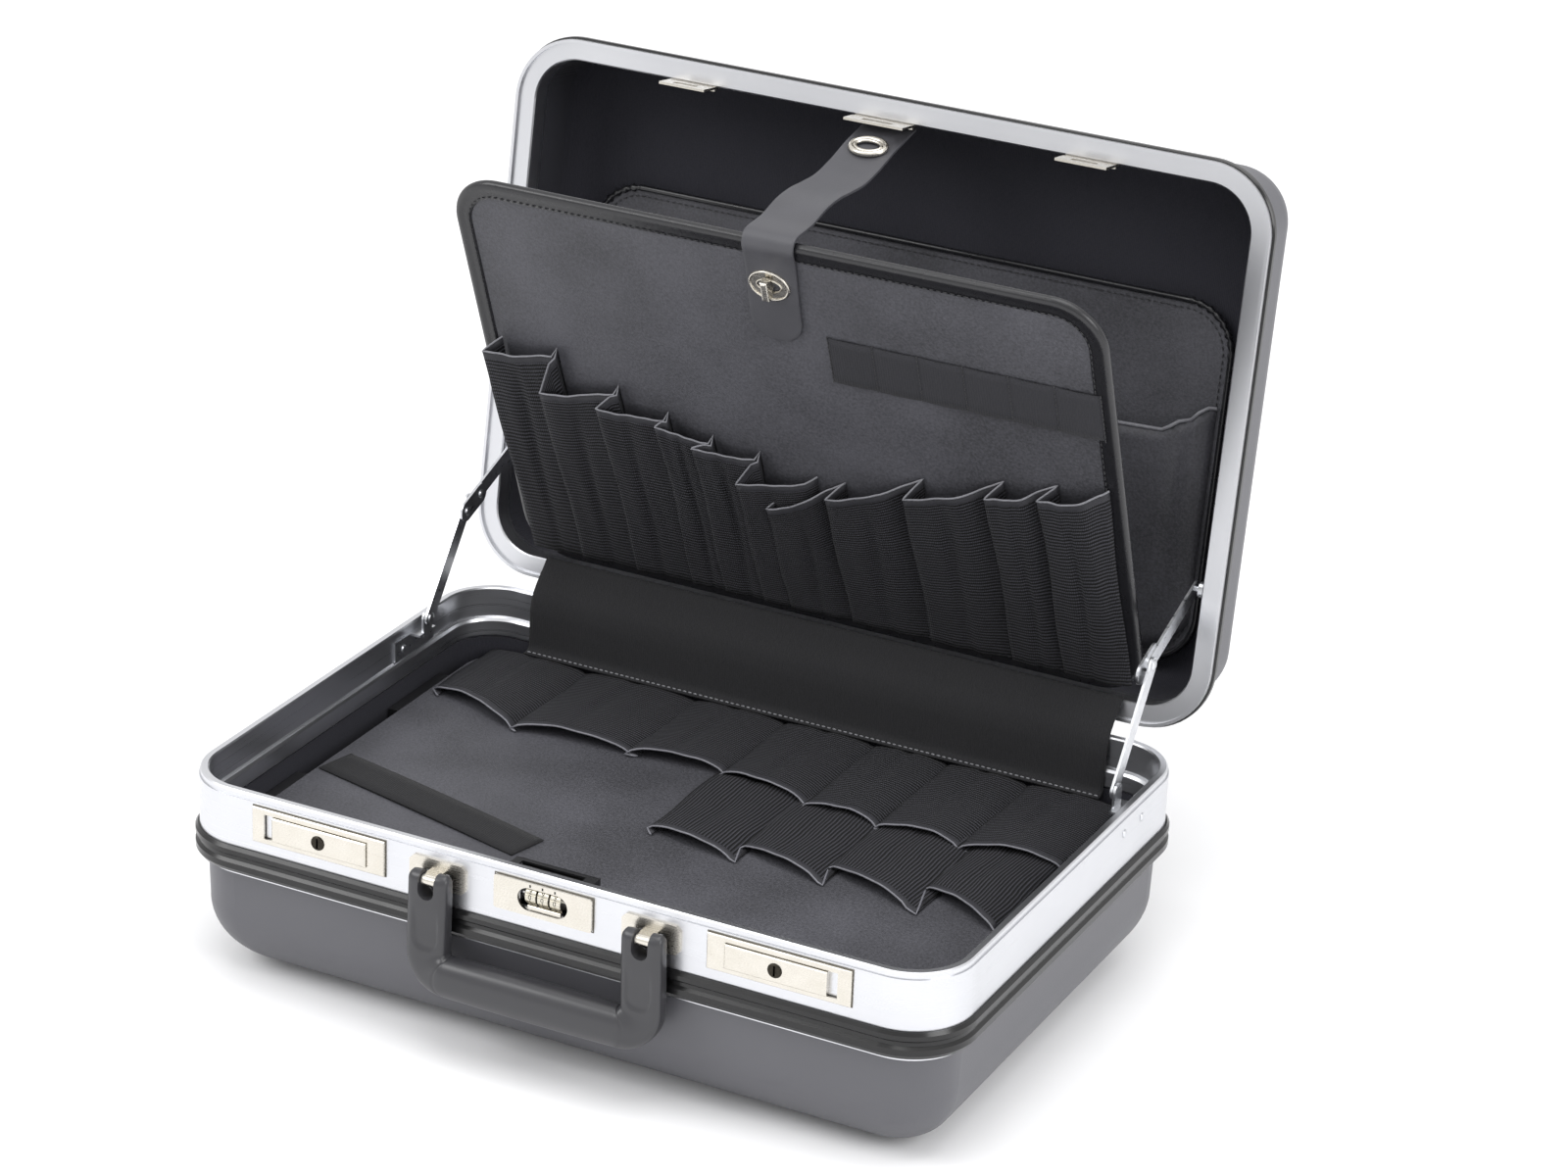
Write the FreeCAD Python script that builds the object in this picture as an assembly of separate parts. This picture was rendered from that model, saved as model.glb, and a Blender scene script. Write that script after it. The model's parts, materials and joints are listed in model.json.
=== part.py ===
"""Tool attache case: moulded ABS shells in aluminium frames, with a lid tool board and a tray pallet.

Millimetres. +X is the case's right, seen from its front (the handle side), +Y its back (the hinges), +Z up.
The origin is the middle of the flat underside. The lid stands open and the handle hangs down.
Lid pieces are drawn closed and then turned open about the hinge pins, so both poses fit.
"""
import FreeCAD, Part
import math
import os

from FreeCAD import Vector as V

# ---------------------------------------------------------------- case and frames
case_width = 480.0            # outside of the tray's aluminium band
case_depth = 326.0
corner_radius = 36.5          # of the band, seen from above
tray_height = 123.0           # underside to rim
lid_height = 65.0             # rim to the top of the closed lid
lid_open_angle = 98.9         # how far the lid stands open on its stays
lid_gap = 0.3                 # air between the closed lid's face and the rim

band_height = 34.5            # aluminium band below the rim
band_wall = 1.8
rim_width = 5.8               # rim's top face, outer to inner edge
rim_web = 2.2
rim_step_height = 4.0         # shallow step round the top of the band
rim_step = 0.8
inner_wall = 1.5
inner_wall_height = 18.5      # straight inner wall above the clamping bead
bead_reach = 8.6              # inner face of the bead, in from the band
bead_bottom = 31.8

shell_wall = 2.5
shell_inset = 4.0             # shell's outer face, in from the band's outer face
shell_draft = 1.7             # further inset where the walls meet the rounded bottom
tray_round = 44.0             # radius along the tray's bottom edge
lid_round = 21.0
corner_keep = 8.0             # corners stay concentric this far in from the band
corner_share = 0.45           # and shrink this fast further in
shell_tuck = 6.0              # how far a shell's edge reaches up into its frame

seal_height = 16.0            # rubber bumper below the band
seal_proud = 2.5
trim_height = 3.0             # bright strip below the bumper
trim_thickness = 0.9
joint_gap = 0.1               # air between clamped strips

lid_face_outer = 3.8          # lid face's outer edge, out from the band
lid_face_inner = 8.8          # lid face's inner edge, in from the band
lid_face_thickness = 1.8
lid_lip = 2.0                 # lip that drops outside the rim when closed
lid_lip_width = 1.9
lid_wall_height = 14.0
lid_seal_outer = 5.0
lid_seal_height = 5.4
lining_thickness = 1.0
lining_gap = 0.3

# ---------------------------------------------------------------- hinges
hinge_offset = 8.5            # pin axis behind the band, level with the rim
hinge_pin_radius = 1.5
hinge_knuckle_radius = 3.4
hinge_bore_gap = 0.1
hinge_width = 50.0
hinge_spread = 280.0          # between the middles of the two hinges
hinge_leaf = 1.5
hinge_leaf_drop = 22.0
hinge_knuckle_share = 0.36    # width of the lid's knuckle over the whole hinge
hinge_rivet_radius = 2.6
hinge_rivet_spacing = 30.0
hinge_jog_height = 7.0        # where the lid leaf turns in to the shell, above its bumper
hinge_lid_leaf_top = 24.0

# ---------------------------------------------------------------- locks on the front band
lock_centre_x = 143.5
lock_centre_z = 16.4          # below the rim
lock_plate_size = (86.0, 21.6)
lock_plate_thickness = 2.0
lock_window_size = (67.0, 15.2)
slider_size = (61.0, 14.6)
slider_thickness = 3.6
slider_travel = 5.0
slider_shift = 1.2            # at rest, from the plate's middle towards the case's middle
slider_flange = 0.7
slider_flange_reach = 1.0
plate_recess = 0.9            # room behind the plate for the slider's flange
key_radius = 4.2
key_proud = 0.8
key_gap = 0.12
keyway_size = (1.2, 6.0)
bolt_size = (9.0, 4.0)        # shank through the band, along X and Z
bolt_tongue = (14.0, 2.4)     # tongue inside the band, along X and Y
sheet_gap = 0.25              # air between sliding or stacked sheet parts

combination_size = (61.0, 20.0)
combination_thickness = 2.2
combination_window = (31.0, 13.6)
dial_radius = 5.6
dial_width = 6.6
dial_pitch = 7.7
dial_axis_in = 2.9            # dial axis, in from the band's outer face
dial_z = 14.2                 # dial axis below the rim
dial_axle_radius = 1.2
dial_bore_gap = 0.1
dial_flutes = 10
dial_flute_radius = 0.5
button_size = (20.5, 2.4)
button_z = 20.2               # below the rim
button_travel = 3.0
button_proud = 0.5
lock_case_size = (52.0, 13.0, 16.6)
lock_case_wall = 1.2
lock_post_width = 1.6

# ---------------------------------------------------------------- handle
handle_spacing = 133.0        # between the two arms' middles
handle_arm_width = 27.5
handle_arm_thickness = 11.0
handle_drop = 67.0            # pin axis to the bottom of the grip
handle_pin_offset = 8.7       # pin axis in front of the band
handle_pin_z = 17.0           # below the rim
handle_pin_radius = 1.6
handle_slot = 10.0
handle_slot_depth = 9.5       # below the pin axis
handle_elbow = 20.0
grip_height = 24.5
grip_thickness = 21.0
grip_overlap = 4.0            # how far the arms' elbows reach in along the grip
core_radius = 4.0
bracket_size = (36.0, 17.5)
bracket_thickness = 1.4
bracket_knuckle_width = 9.0
bracket_knuckle_wall = 1.3

# ---------------------------------------------------------------- folding stays
stay_tray_pivot = (88.6, 3.0)     # (y, height over the rim)
stay_knee = (133.2, 63.5)         # (y, height over the rim) with the lid open
stay_lid_pivot = (82.0, 11.5)     # (y, height over the rim) with the lid closed
stay_width = 9.6
stay_thickness = 1.5
stay_pin_radius = 2.0
stay_ear_width = 10.0
stay_bore_gap = 0.1
stay_ear_inset = 12.2             # outer face of the ear, in from the band
stay_stack_gap = 0.4
knee_plate_size = (30.0, 13.0)
stay_plate = (44.0, 14.0, 1.4)
stay_rivets_y = (71.5, 96.0)
stay_rivet_z = 12.8
rivet_radius = 2.6
rivet_head = 1.0

# ---------------------------------------------------------------- latch catches on the lid's front
catch_thickness = 1.5
catch_drop = 15.0
catch_widths = {"left": 30.0, "centre": 38.0, "right": 32.0}
catch_centres = {"left": -126.5, "centre": -1.0, "right": 130.0}

# ---------------------------------------------------------------- tray fittings
pallet_drop = 40.0            # pallet's top below the rim
pallet_thickness = 3.0
pallet_inset = (20.0, 14.0)      # pallet's edges in from the band, at the sides and the ends
pallet_corner = 26.0
ledge_size = (14.0, 60.0, 8.0)
pocket_back = (-214.0, 206.0, 66.0, 144.0, 8.0)      # x, x, y, y, height
pocket_front = (-14.0, 206.0, -28.0, 65.0, 6.0)
pallet_strap = (-214.0, -62.0, -86.0, -58.0, 2.0)
flap_width = 393.0
flap_thickness = 1.4
flap_gap = 0.4

# ---------------------------------------------------------------- lid fittings
board_size = (405.0, 286.0, 5.0)
board_corner = 28.0
board_tilt = 29.9             # leans out of the lid by this much
board_hinge = (151.0, 1.4)    # (y, height over the lid's face) with the lid closed
piping_radius = 3.0
pocket_steps_left = ((-200.0, -153.0, 168.0), (-153.0, -115.0, 148.0), (-115.0, -84.0, 140.0),
                     (-84.0, -50.0, 130.0), (-50.0, -27.0, 126.0), (-27.0, 8.0, 112.0))
pocket_steps_right = ((10.0, 26.0, 98.0), (26.0, 78.0, 122.0), (78.0, 132.0, 136.0),
                      (132.0, 166.0, 146.0), (166.0, 200.0, 153.0))
pocket_bulge = 13.0
pocket_foot = 6.0             # pockets' lower edge above the board's
pocket_margin = 3.4           # pockets' outline inside the board's
loops_place = (31.0, 199.0, 198.0, 230.0)            # x, x, height, height on the board
loops_thickness = 2.4
panel_size = (420.0, 216.0, 4.0)
panel_top = -74.0             # closed y of its upper edge
panel_corner = 30.0
panel_clear = 1.5             # between the lining and the panel
panel_pocket = (-180.0, 186.0, 4.0, 138.0, 8.0)
strap_width = 32.0
strap_thickness = 1.5
strap_gap = 0.3               # between the strap and the board
strap_from_lid = ((7.45, -13.93), (-20.55, -19.93))      # (y, z) from the open lid's outer edge
strap_from_board = ((93.89, 8.0), (59.09, 9.8), (33.79, 8.9), (16.29, 1.9))      # (y, z) from the open board's top
strap_tip = 219.0             # height on the board
lock_on_board = 261.8         # turn-lock's height on the board
eyelet_size = (26.0, 21.0)
eyelet_opening = (15.0, 8.0)
eyelet_thickness = 0.9
ring_along = 2.1                # eyelet ring's middle, down the strap from its second point
knob_size = (13.0, 4.6, 5.5)
knob_stem_radius = 3.2

# ---------------------------------------------------------------- worked out from the sizes above
rim_z = tray_height
front_y = -case_depth / 2
back_y = case_depth / 2
side_x = case_width / 2
pallet_size = (case_width - 2 * pallet_inset[0], case_depth - 2 * pallet_inset[1])
lid_face_z = rim_z + lid_gap
hinge_y = back_y + hinge_offset
hinge_axis = V(0, hinge_y, rim_z)
x_axis = V(1, 0, 0)
parts = {}


# ---------------------------------------------------------------- shapes used all over the case
def box(x0, x1, y0, y1, z0, z1):
    return Part.makeBox(x1 - x0, y1 - y0, z1 - z0, V(x0, y0, z0))


def rod(radius, start, end):
    direction = end - start
    return Part.makeCylinder(radius, direction.Length, start, direction)


def polygon(points):
    return Part.Face(Part.makePolygon(list(points) + [points[0]]))


def corner_at(inset):
    """Corner radius of an outline drawn this far in from the band's outer face."""
    concentric = corner_radius - min(inset, corner_keep)
    return concentric - corner_share * max(inset - corner_keep, 0.0)


def rounded_wire(width, depth, radius, z, centre=(0.0, 0.0)):
    """Rounded rectangle in a level plane, counter-clockwise from the right front corner."""
    cx, cy = centre
    hw, hd = width / 2, depth / 2
    edges = []
    corners = ((hw - radius, -hd + radius, -90), (hw - radius, hd - radius, 0),
               (-hw + radius, hd - radius, 90), (-hw + radius, -hd + radius, 180))
    for i, (x, y, start) in enumerate(corners):
        ends = []
        for turn in (0, 45, 90):
            angle = math.radians(start + turn)
            ends.append(V(cx + x + radius * math.cos(angle), cy + y + radius * math.sin(angle), z))
        edges.append(Part.Arc(*ends).toShape())
        nx, ny, nstart = corners[(i + 1) % 4]
        angle = math.radians(nstart)
        follow = V(cx + nx + radius * math.cos(angle), cy + ny + radius * math.sin(angle), z)
        edges.append(Part.makeLine(ends[2], follow))
    return Part.Wire(edges)


def slab(width, depth, radius, z0, z1, centre=(0.0, 0.0)):
    return Part.Face(rounded_wire(width, depth, radius, z0, centre)).extrude(V(0, 0, z1 - z0))


def profile_ring(outline, base_z, inset=0.0):
    """Carry an outline of (inset, height) points round the case's rounded rectangle."""
    straight_y = case_depth / 2 - corner_radius
    straight_x = case_width / 2 - corner_radius
    side = polygon([V(side_x - i - inset, -straight_y, base_z + h) for i, h in outline])
    back = polygon([V(straight_x, back_y - i - inset, base_z + h) for i, h in outline])
    pieces = [side.extrude(V(0, 2 * straight_y, 0)), back.extrude(V(-2 * straight_x, 0, 0))]
    turned = side.copy()
    turned.translate(V(0, 2 * straight_y, 0))
    pieces.append(turned.revolve(V(straight_x, straight_y, 0), V(0, 0, 1), 90))
    turned = back.copy()
    turned.translate(V(-2 * straight_x, 0, 0))
    pieces.append(turned.revolve(V(-straight_x, straight_y, 0), V(0, 0, 1), 90))
    opposite = []
    for piece in pieces:
        other = piece.copy()
        other.rotate(V(0, 0, 0), V(0, 0, 1), 180)
        opposite.append(other)
    return pieces[0].fuse(pieces[1:] + opposite).removeSplitter()


def pan(height, round_radius, tuck, inward, draft):
    """Solid of a shell's outline, base down at z = 0, drawn 'inward' from the outer skin."""
    def section(inset, z):
        width = case_width - 2 * inset
        depth = case_depth - 2 * inset
        return rounded_wire(width, depth, corner_at(inset), z)

    foot = shell_inset + draft + inward
    top = section(shell_inset + inward, height + tuck)
    shoulder = section(foot, round_radius)
    walls = Part.makeLoft([shoulder, top], True, True)
    bend = round_radius - inward
    rings = []
    for step in range(7):
        angle = math.radians(15 * step)
        rings.append(section(foot + bend * (1 - math.cos(angle)), round_radius - bend * math.sin(angle)))
    floor = Part.makeLoft(rings, True, False)
    return walls.fuse(floor)


def shell_of(height, round_radius, draft):
    outer = pan(height, round_radius, 0.0, 0.0, draft)
    inner = pan(height, round_radius, 1.0, shell_wall, draft)
    return outer.cut(inner)


def lining_of(height, round_radius, draft):
    start = shell_wall + lining_gap
    outer = pan(height, round_radius, 0.0, start, draft)
    inner = pan(height, round_radius, 1.0, start + lining_thickness, draft)
    return outer.cut(inner)


def flipped(shape, z):
    """Turn a pan upside down so that its base lies at height z."""
    moved = shape.copy()
    moved.rotate(V(0, 0, 0), x_axis, 180)
    moved.translate(V(0, 0, z))
    return moved


def opened(shape):
    """Turn a piece drawn on the closed lid to where the open lid holds it."""
    moved = shape.copy()
    moved.rotate(hinge_axis, x_axis, -lid_open_angle)
    return moved


def tilted(shape):
    """Lean a piece drawn on the folded tool board out of the lid, then open the lid."""
    moved = shape.copy()
    moved.rotate(V(0, board_hinge[0], lid_face_z + board_hinge[1]), x_axis, board_tilt)
    return opened(moved)


def mirrored(shape):
    return shape.mirror(V(0, 0, 0), x_axis)


def group(shapes):
    return Part.makeCompound(shapes)


def dome(radius, height, base, direction):
    """Shallow round rivet head standing on a surface, turned as a few cones."""
    unit = V(direction).normalize()
    side = unit.cross(V(0.3, 0.5, 0.8)).normalize()
    profile = ((0.0, 0.0), (1.0, 0.0), (1.0, 0.25), (0.86, 0.62), (0.58, 0.88), (0.24, 1.0), (0.0, 1.0))
    face = polygon([base + side * (radius * across) + unit * (height * up) for across, up in profile])
    return face.revolve(base, unit, 360)


# ---------------------------------------------------------------- tray: shell, frame, bumper, trim
def make_tray():
    shell_top = rim_z - band_height + shell_tuck
    parts["tray_shell"] = shell_of(shell_top, tray_round, shell_draft)
    parts["tray_lining"] = lining_of(rim_z - bead_bottom - lining_gap, tray_round, shell_draft)

    clamp_top = inner_wall_height + 1.0
    outline = [(0.0, -band_height), (0.0, -rim_step_height), (rim_step, -rim_step_height),
               (rim_step, -rim_step), (2 * rim_step, 0.0), (rim_width - rim_step, 0.0),
               (rim_width, -rim_step), (rim_width, -inner_wall_height), (bead_reach - 1.0, -clamp_top),
               (bead_reach, -clamp_top - 1.6), (bead_reach, -bead_bottom + 1.6),
               (bead_reach - inner_wall, -bead_bottom), (bead_reach - inner_wall, -clamp_top - 2.0),
               (rim_width - inner_wall, -clamp_top + 0.6), (rim_width - inner_wall, -rim_web),
               (band_wall, -rim_web), (band_wall, -band_height)]
    frame = profile_ring(outline, rim_z)

    lock_z = rim_z - lock_centre_z
    for sign in (-1, 1):
        middle = sign * (lock_centre_x - slider_shift)
        x0 = middle - bolt_size[0] / 2 - 1.0 - (slider_travel if sign < 0 else 0.0)
        x1 = middle + bolt_size[0] / 2 + 1.0 + (slider_travel if sign > 0 else 0.0)
        half = bolt_size[1] / 2 + 0.6
        frame = frame.cut(box(x0, x1, front_y - 1, front_y + rim_width + 1, lock_z - half, lock_z + half))
    opening = 1.5 * dial_pitch + 3.0 + 0.6
    dial_middle = rim_z - dial_z
    frame = frame.cut(box(-opening, opening, front_y - 1, front_y + rim_width + 1,
                          rim_z - inner_wall_height - 3.2, dial_middle + dial_radius + 0.8))
    parts["tray_frame"] = frame

    top = -band_height - joint_gap
    low = top - seal_height
    bumper = [(shell_inset, top), (-seal_proud + 1.4, top), (-seal_proud, top - 1.8), (-seal_proud, top - 4.6),
              (-seal_proud + 1.7, top - 6.2), (-seal_proud + 1.7, top - 8.4), (-seal_proud, top - 10.0),
              (-seal_proud, top - 13.6), (-seal_proud + 1.6, low), (shell_inset, low)]
    parts["tray_seal"] = profile_ring(bumper, rim_z)
    strip_top = low - joint_gap
    strip = [(shell_inset, strip_top), (shell_inset - trim_thickness, strip_top),
             (shell_inset - trim_thickness, strip_top - trim_height), (shell_inset, strip_top - trim_height)]
    parts["tray_trim_strip"] = profile_ring(strip, rim_z)


# ---------------------------------------------------------------- lid: frame, bumper, shell, lining
def make_lid():
    face = [(-lid_face_outer, -lid_lip), (-lid_face_outer, lid_face_thickness),
            (lid_face_inner - inner_wall, lid_face_thickness), (lid_face_inner - inner_wall, lid_wall_height),
            (lid_face_inner, lid_wall_height), (lid_face_inner, rim_step), (lid_face_inner - rim_step, 0.0),
            (-lid_face_outer + lid_lip_width, 0.0), (-lid_face_outer + lid_lip_width, -lid_lip)]
    parts["lid_frame"] = opened(profile_ring(face, lid_face_z))

    low = lid_face_thickness + joint_gap
    bumper = [(shell_inset, low), (-lid_seal_outer + 0.8, low), (-lid_seal_outer, low + 0.8),
              (-lid_seal_outer, lid_seal_height), (-lid_seal_outer + 1.0, lid_seal_height + 0.8),
              (shell_inset, lid_seal_height + 0.8)]
    parts["lid_seal"] = opened(profile_ring(bumper, lid_face_z))

    lid_top = rim_z + lid_height
    shell_depth = lid_height - lid_gap - low
    parts["lid_shell"] = opened(flipped(shell_of(shell_depth, lid_round, 0.0), lid_top))
    lining_depth = lid_height - lid_gap - lid_wall_height - lining_gap
    parts["lid_lining"] = opened(flipped(lining_of(lining_depth, lid_round, 0.0), lid_top))


# ---------------------------------------------------------------- hinges at the back
def make_hinges():
    half = hinge_width / 2
    knuckle = hinge_width * hinge_knuckle_share / 2
    ends = 0.3
    tray_leaves, lid_leaves, pins, tray_rivets, lid_rivets = [], [], [], [], []
    shell_back = back_y - shell_inset
    for sign in (-1, 1):
        middle = sign * hinge_spread / 2
        for x0, x1 in ((middle - half, middle - knuckle), (middle + knuckle, middle + half)):
            barrel = rod(hinge_knuckle_radius, V(x0, hinge_y, rim_z), V(x1, hinge_y, rim_z))
            arm = polygon([V(x0, back_y, rim_z - 4.5), V(x0, hinge_y, rim_z - hinge_knuckle_radius),
                           V(x0, hinge_y - 1.0, rim_z), V(x0, back_y + hinge_leaf, rim_z - 3.0),
                           V(x0, back_y, rim_z - 3.0)]).extrude(V(x1 - x0, 0, 0))
            tray_leaves.append(barrel.fuse(arm))
        plate = box(middle - half, middle + half, back_y, back_y + hinge_leaf,
                    rim_z - hinge_leaf_drop, rim_z - 4.0)
        leaf = plate.fuse(tray_leaves[-2:])
        bore = rod(hinge_pin_radius, V(middle - half - 1, hinge_y, rim_z), V(middle + half + 1, hinge_y, rim_z))
        tray_leaves[-2:] = [leaf.cut(bore).removeSplitter()]
        pins.append(rod(hinge_pin_radius, V(middle - half, hinge_y, rim_z), V(middle + half, hinge_y, rim_z)))

        x0, x1 = middle - knuckle + ends, middle + knuckle - ends
        barrel = rod(hinge_knuckle_radius, V(x0, hinge_y, rim_z), V(x1, hinge_y, rim_z))
        jog = lid_face_z + hinge_jog_height
        top = lid_face_z + hinge_lid_leaf_top
        outer = hinge_y + hinge_knuckle_radius
        strap = polygon([V(x0, outer - hinge_leaf, rim_z), V(x0, outer, rim_z), V(x0, outer, jog + hinge_leaf),
                         V(x0, shell_back + hinge_leaf, jog + hinge_leaf), V(x0, shell_back + hinge_leaf, top),
                         V(x0, shell_back, top), V(x0, shell_back, jog),
                         V(x0, outer - hinge_leaf, jog)]).extrude(V(x1 - x0, 0, 0))
        bore = rod(hinge_pin_radius + hinge_bore_gap, V(x0 - 1, hinge_y, rim_z), V(x1 + 1, hinge_y, rim_z))
        wide = box(middle - half, middle + half, shell_back, shell_back + hinge_leaf, jog + hinge_leaf, top)
        lid_leaves.append(opened(barrel.fuse([strap, wide]).cut(bore).removeSplitter()))

        for dx in (-hinge_rivet_spacing / 2, hinge_rivet_spacing / 2):
            low = V(middle + dx, back_y + hinge_leaf, rim_z - hinge_leaf_drop * 0.62)
            tray_rivets.append(dome(hinge_rivet_radius, rivet_head, low, V(0, 1, 0)))
            high = V(middle + dx, shell_back + hinge_leaf, (jog + hinge_leaf + top) / 2)
            lid_rivets.append(opened(dome(hinge_rivet_radius, rivet_head, high, V(0, 1, 0))))
    parts["hinge_tray_leaves"] = group(tray_leaves)
    parts["hinge_lid_leaves"] = group(lid_leaves)
    parts["hinge_pins"] = group(pins)
    parts["lid_hinge_rivets"] = group(lid_rivets)
    return tray_rivets


# ---------------------------------------------------------------- key locks
def make_lock(side, sign):
    """Slide lock: plate, slider with its bolt behind it, and the turning key plug."""
    x, z = sign * lock_centre_x, rim_z - lock_centre_z
    pw, ph = lock_plate_size
    ww, wh = lock_window_size
    sw, sh = slider_size
    face = front_y - lock_plate_thickness
    window_x = x + sign * ((ww - sw) / 2 - slider_shift - sheet_gap)
    plate = box(x - pw / 2, x + pw / 2, face, front_y, z - ph / 2, z + ph / 2)
    edges = [e for e in plate.Edges if e.BoundBox.YLength < 1e-6 and abs(e.BoundBox.YMin - face) < 1e-6]
    plate = plate.makeChamfer(0.5, edges)
    plate = plate.cut(box(window_x - ww / 2, window_x + ww / 2, face - 1, front_y + 1, z - wh / 2, z + wh / 2))
    reach = slider_flange_reach + sheet_gap
    recess = box(window_x - ww / 2 - reach, window_x + ww / 2 + reach, front_y - plate_recess, front_y + 1,
                 z - wh / 2 - reach, z + wh / 2 + reach)
    plate = plate.cut(recess)

    x -= sign * slider_shift
    back = front_y - 0.1
    body = box(x - sw / 2, x + sw / 2, back - slider_thickness, back, z - sh / 2, z + sh / 2)
    edges = [e for e in body.Edges if abs(e.BoundBox.YMax - (back - slider_thickness)) < 1e-6]
    body = body.makeChamfer(0.6, edges)
    flange = box(x - sw / 2, x + sw / 2, back - slider_flange, back,
                 z - sh / 2 - slider_flange_reach, z + sh / 2 + slider_flange_reach)
    bore_end = back - slider_thickness - 1
    bore = rod(key_radius + key_gap, V(x, back - 1.0, z), V(x, bore_end, z))
    slider = body.fuse(flange).cut(bore)

    plug_front = back - slider_thickness - key_proud
    plug = rod(key_radius, V(x, back - 1.0 - key_gap, z), V(x, plug_front, z))
    plug = plug.makeChamfer(0.4, [e for e in plug.Edges if abs(e.BoundBox.YMax - plug_front) < 1e-6])
    keyway = box(x - keyway_size[0] / 2, x + keyway_size[0] / 2, plug_front - 1, plug_front + 2.2,
                 z - keyway_size[1] / 2, z + keyway_size[1] / 2)
    parts["key_plug_" + side] = plug.cut(keyway)

    shank = box(x - bolt_size[0] / 2, x + bolt_size[0] / 2, back, front_y + rim_width + sheet_gap,
                z - bolt_size[1] / 2, z + bolt_size[1] / 2)
    inside = front_y + rim_width + sheet_gap
    tongue = box(x - bolt_tongue[0] / 2, x + bolt_tongue[0] / 2, inside, inside + bolt_tongue[1],
                 z - bolt_size[1] / 2, z + bolt_size[1] / 2)
    parts["lock_slider_" + side] = slider.fuse([shank, tongue]).removeSplitter()
    return plate


# ---------------------------------------------------------------- combination lock in the middle
def pill(width, height, y0, y1, z):
    radius = height / 2
    half = width / 2 - radius
    bar = box(-half, half, y0, y1, z - radius, z + radius)
    ends = [rod(radius, V(s * half, y0, z), V(s * half, y1, z)) for s in (-1, 1)]
    return bar.fuse(ends).removeSplitter()


def make_combination():
    cw, ch = combination_size
    ww, wh = combination_window
    z = rim_z - lock_centre_z + 0.6
    face = front_y - combination_thickness
    plate = box(-cw / 2, cw / 2, face, front_y, z - ch / 2, z + ch / 2)
    upright = [e for e in plate.Edges if abs(e.BoundBox.YLength - combination_thickness) < 1e-6]
    plate = plate.makeFillet(1.5, upright)
    parts["combination_plate"] = plate.cut(pill(ww, wh, face - 1, front_y + 1, z))

    axis_y = front_y + dial_axis_in
    axis_z = rim_z - dial_z
    for index in range(3):
        x = (index - 1) * dial_pitch
        start, end = V(x - dial_width / 2, axis_y, axis_z), V(x + dial_width / 2, axis_y, axis_z)
        dial = rod(dial_radius, start, end)
        dial = dial.makeChamfer(0.4, [e for e in dial.Edges if e.BoundBox.XLength < 1e-6])
        flutes = [rod(dial_axle_radius + dial_bore_gap, start - x_axis, end + x_axis)]
        for step in range(dial_flutes):
            angle = 2 * math.pi * (step + 0.5) / dial_flutes
            shift = V(0, dial_radius * math.cos(angle), dial_radius * math.sin(angle))
            flutes.append(rod(dial_flute_radius, start + shift - x_axis, end + shift + x_axis))
        parts["combination_dial_%d" % (index + 1)] = dial.cut(flutes)

    lw, ld, lh = lock_case_size
    wall = lock_case_wall
    y0 = front_y + rim_width + sheet_gap
    y1 = y0 + ld
    top = rim_z - 1.5
    low = top - lh
    case = box(-lw / 2, lw / 2, y0, y1, low, top)
    crown = [e for e in case.Edges if abs(e.BoundBox.YMin - y1) < 1e-6 and e.BoundBox.YLength < 1e-6]
    case = case.makeFillet(5.0, [e for e in crown if e.BoundBox.ZMin > top - 1e-6 or e.BoundBox.ZLength > 1])
    room = box(-lw / 2 + wall, lw / 2 - wall, y0 + wall, y1 - wall, low + wall, top - wall)
    axle_half = 1.5 * dial_pitch + 3.0
    dial_window = box(-axle_half + lock_post_width, axle_half - lock_post_width, y0 - 1, y0 + wall + 1,
                      axis_z - 5.0, axis_z + 5.4)
    catch_x, catch_w = catch_centres["centre"], catch_widths["centre"]
    catch_y = front_y + lid_face_inner
    slot = box(catch_x - catch_w / 2 - 0.8, catch_x + catch_w / 2 + 0.8, catch_y - 0.6,
               catch_y + catch_thickness + 2.0, low + wall, top + 1)
    posts = []
    for s in (-1, 1):
        x0, x1 = sorted((s * (axle_half - lock_post_width), s * axle_half))
        posts.append(box(x0, x1, front_y + band_wall + 0.2, y0 + wall, axis_z - 2.6, axis_z + 2.6))
    hole = rod(dial_axle_radius, V(-axle_half - 1, axis_y, axis_z), V(axle_half + 1, axis_y, axis_z))
    case = case.cut([room, dial_window, slot]).fuse(posts)
    parts["combination_case"] = case.cut(hole).removeSplitter()
    parts["dial_axle"] = rod(dial_axle_radius, V(-axle_half, axis_y, axis_z), V(axle_half, axis_y, axis_z))

    bw, bh = button_size
    bz = rim_z - button_z
    bar = box(-bw / 2 + 1.2, bw / 2 + 1.2, face - button_proud, front_y - sheet_gap, bz - bh / 2, bz + bh / 2)
    parts["combination_button"] = bar.makeChamfer(0.3, [e for e in bar.Edges
                                                        if abs(e.BoundBox.YMax - face + button_proud) < 1e-6])


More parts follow.
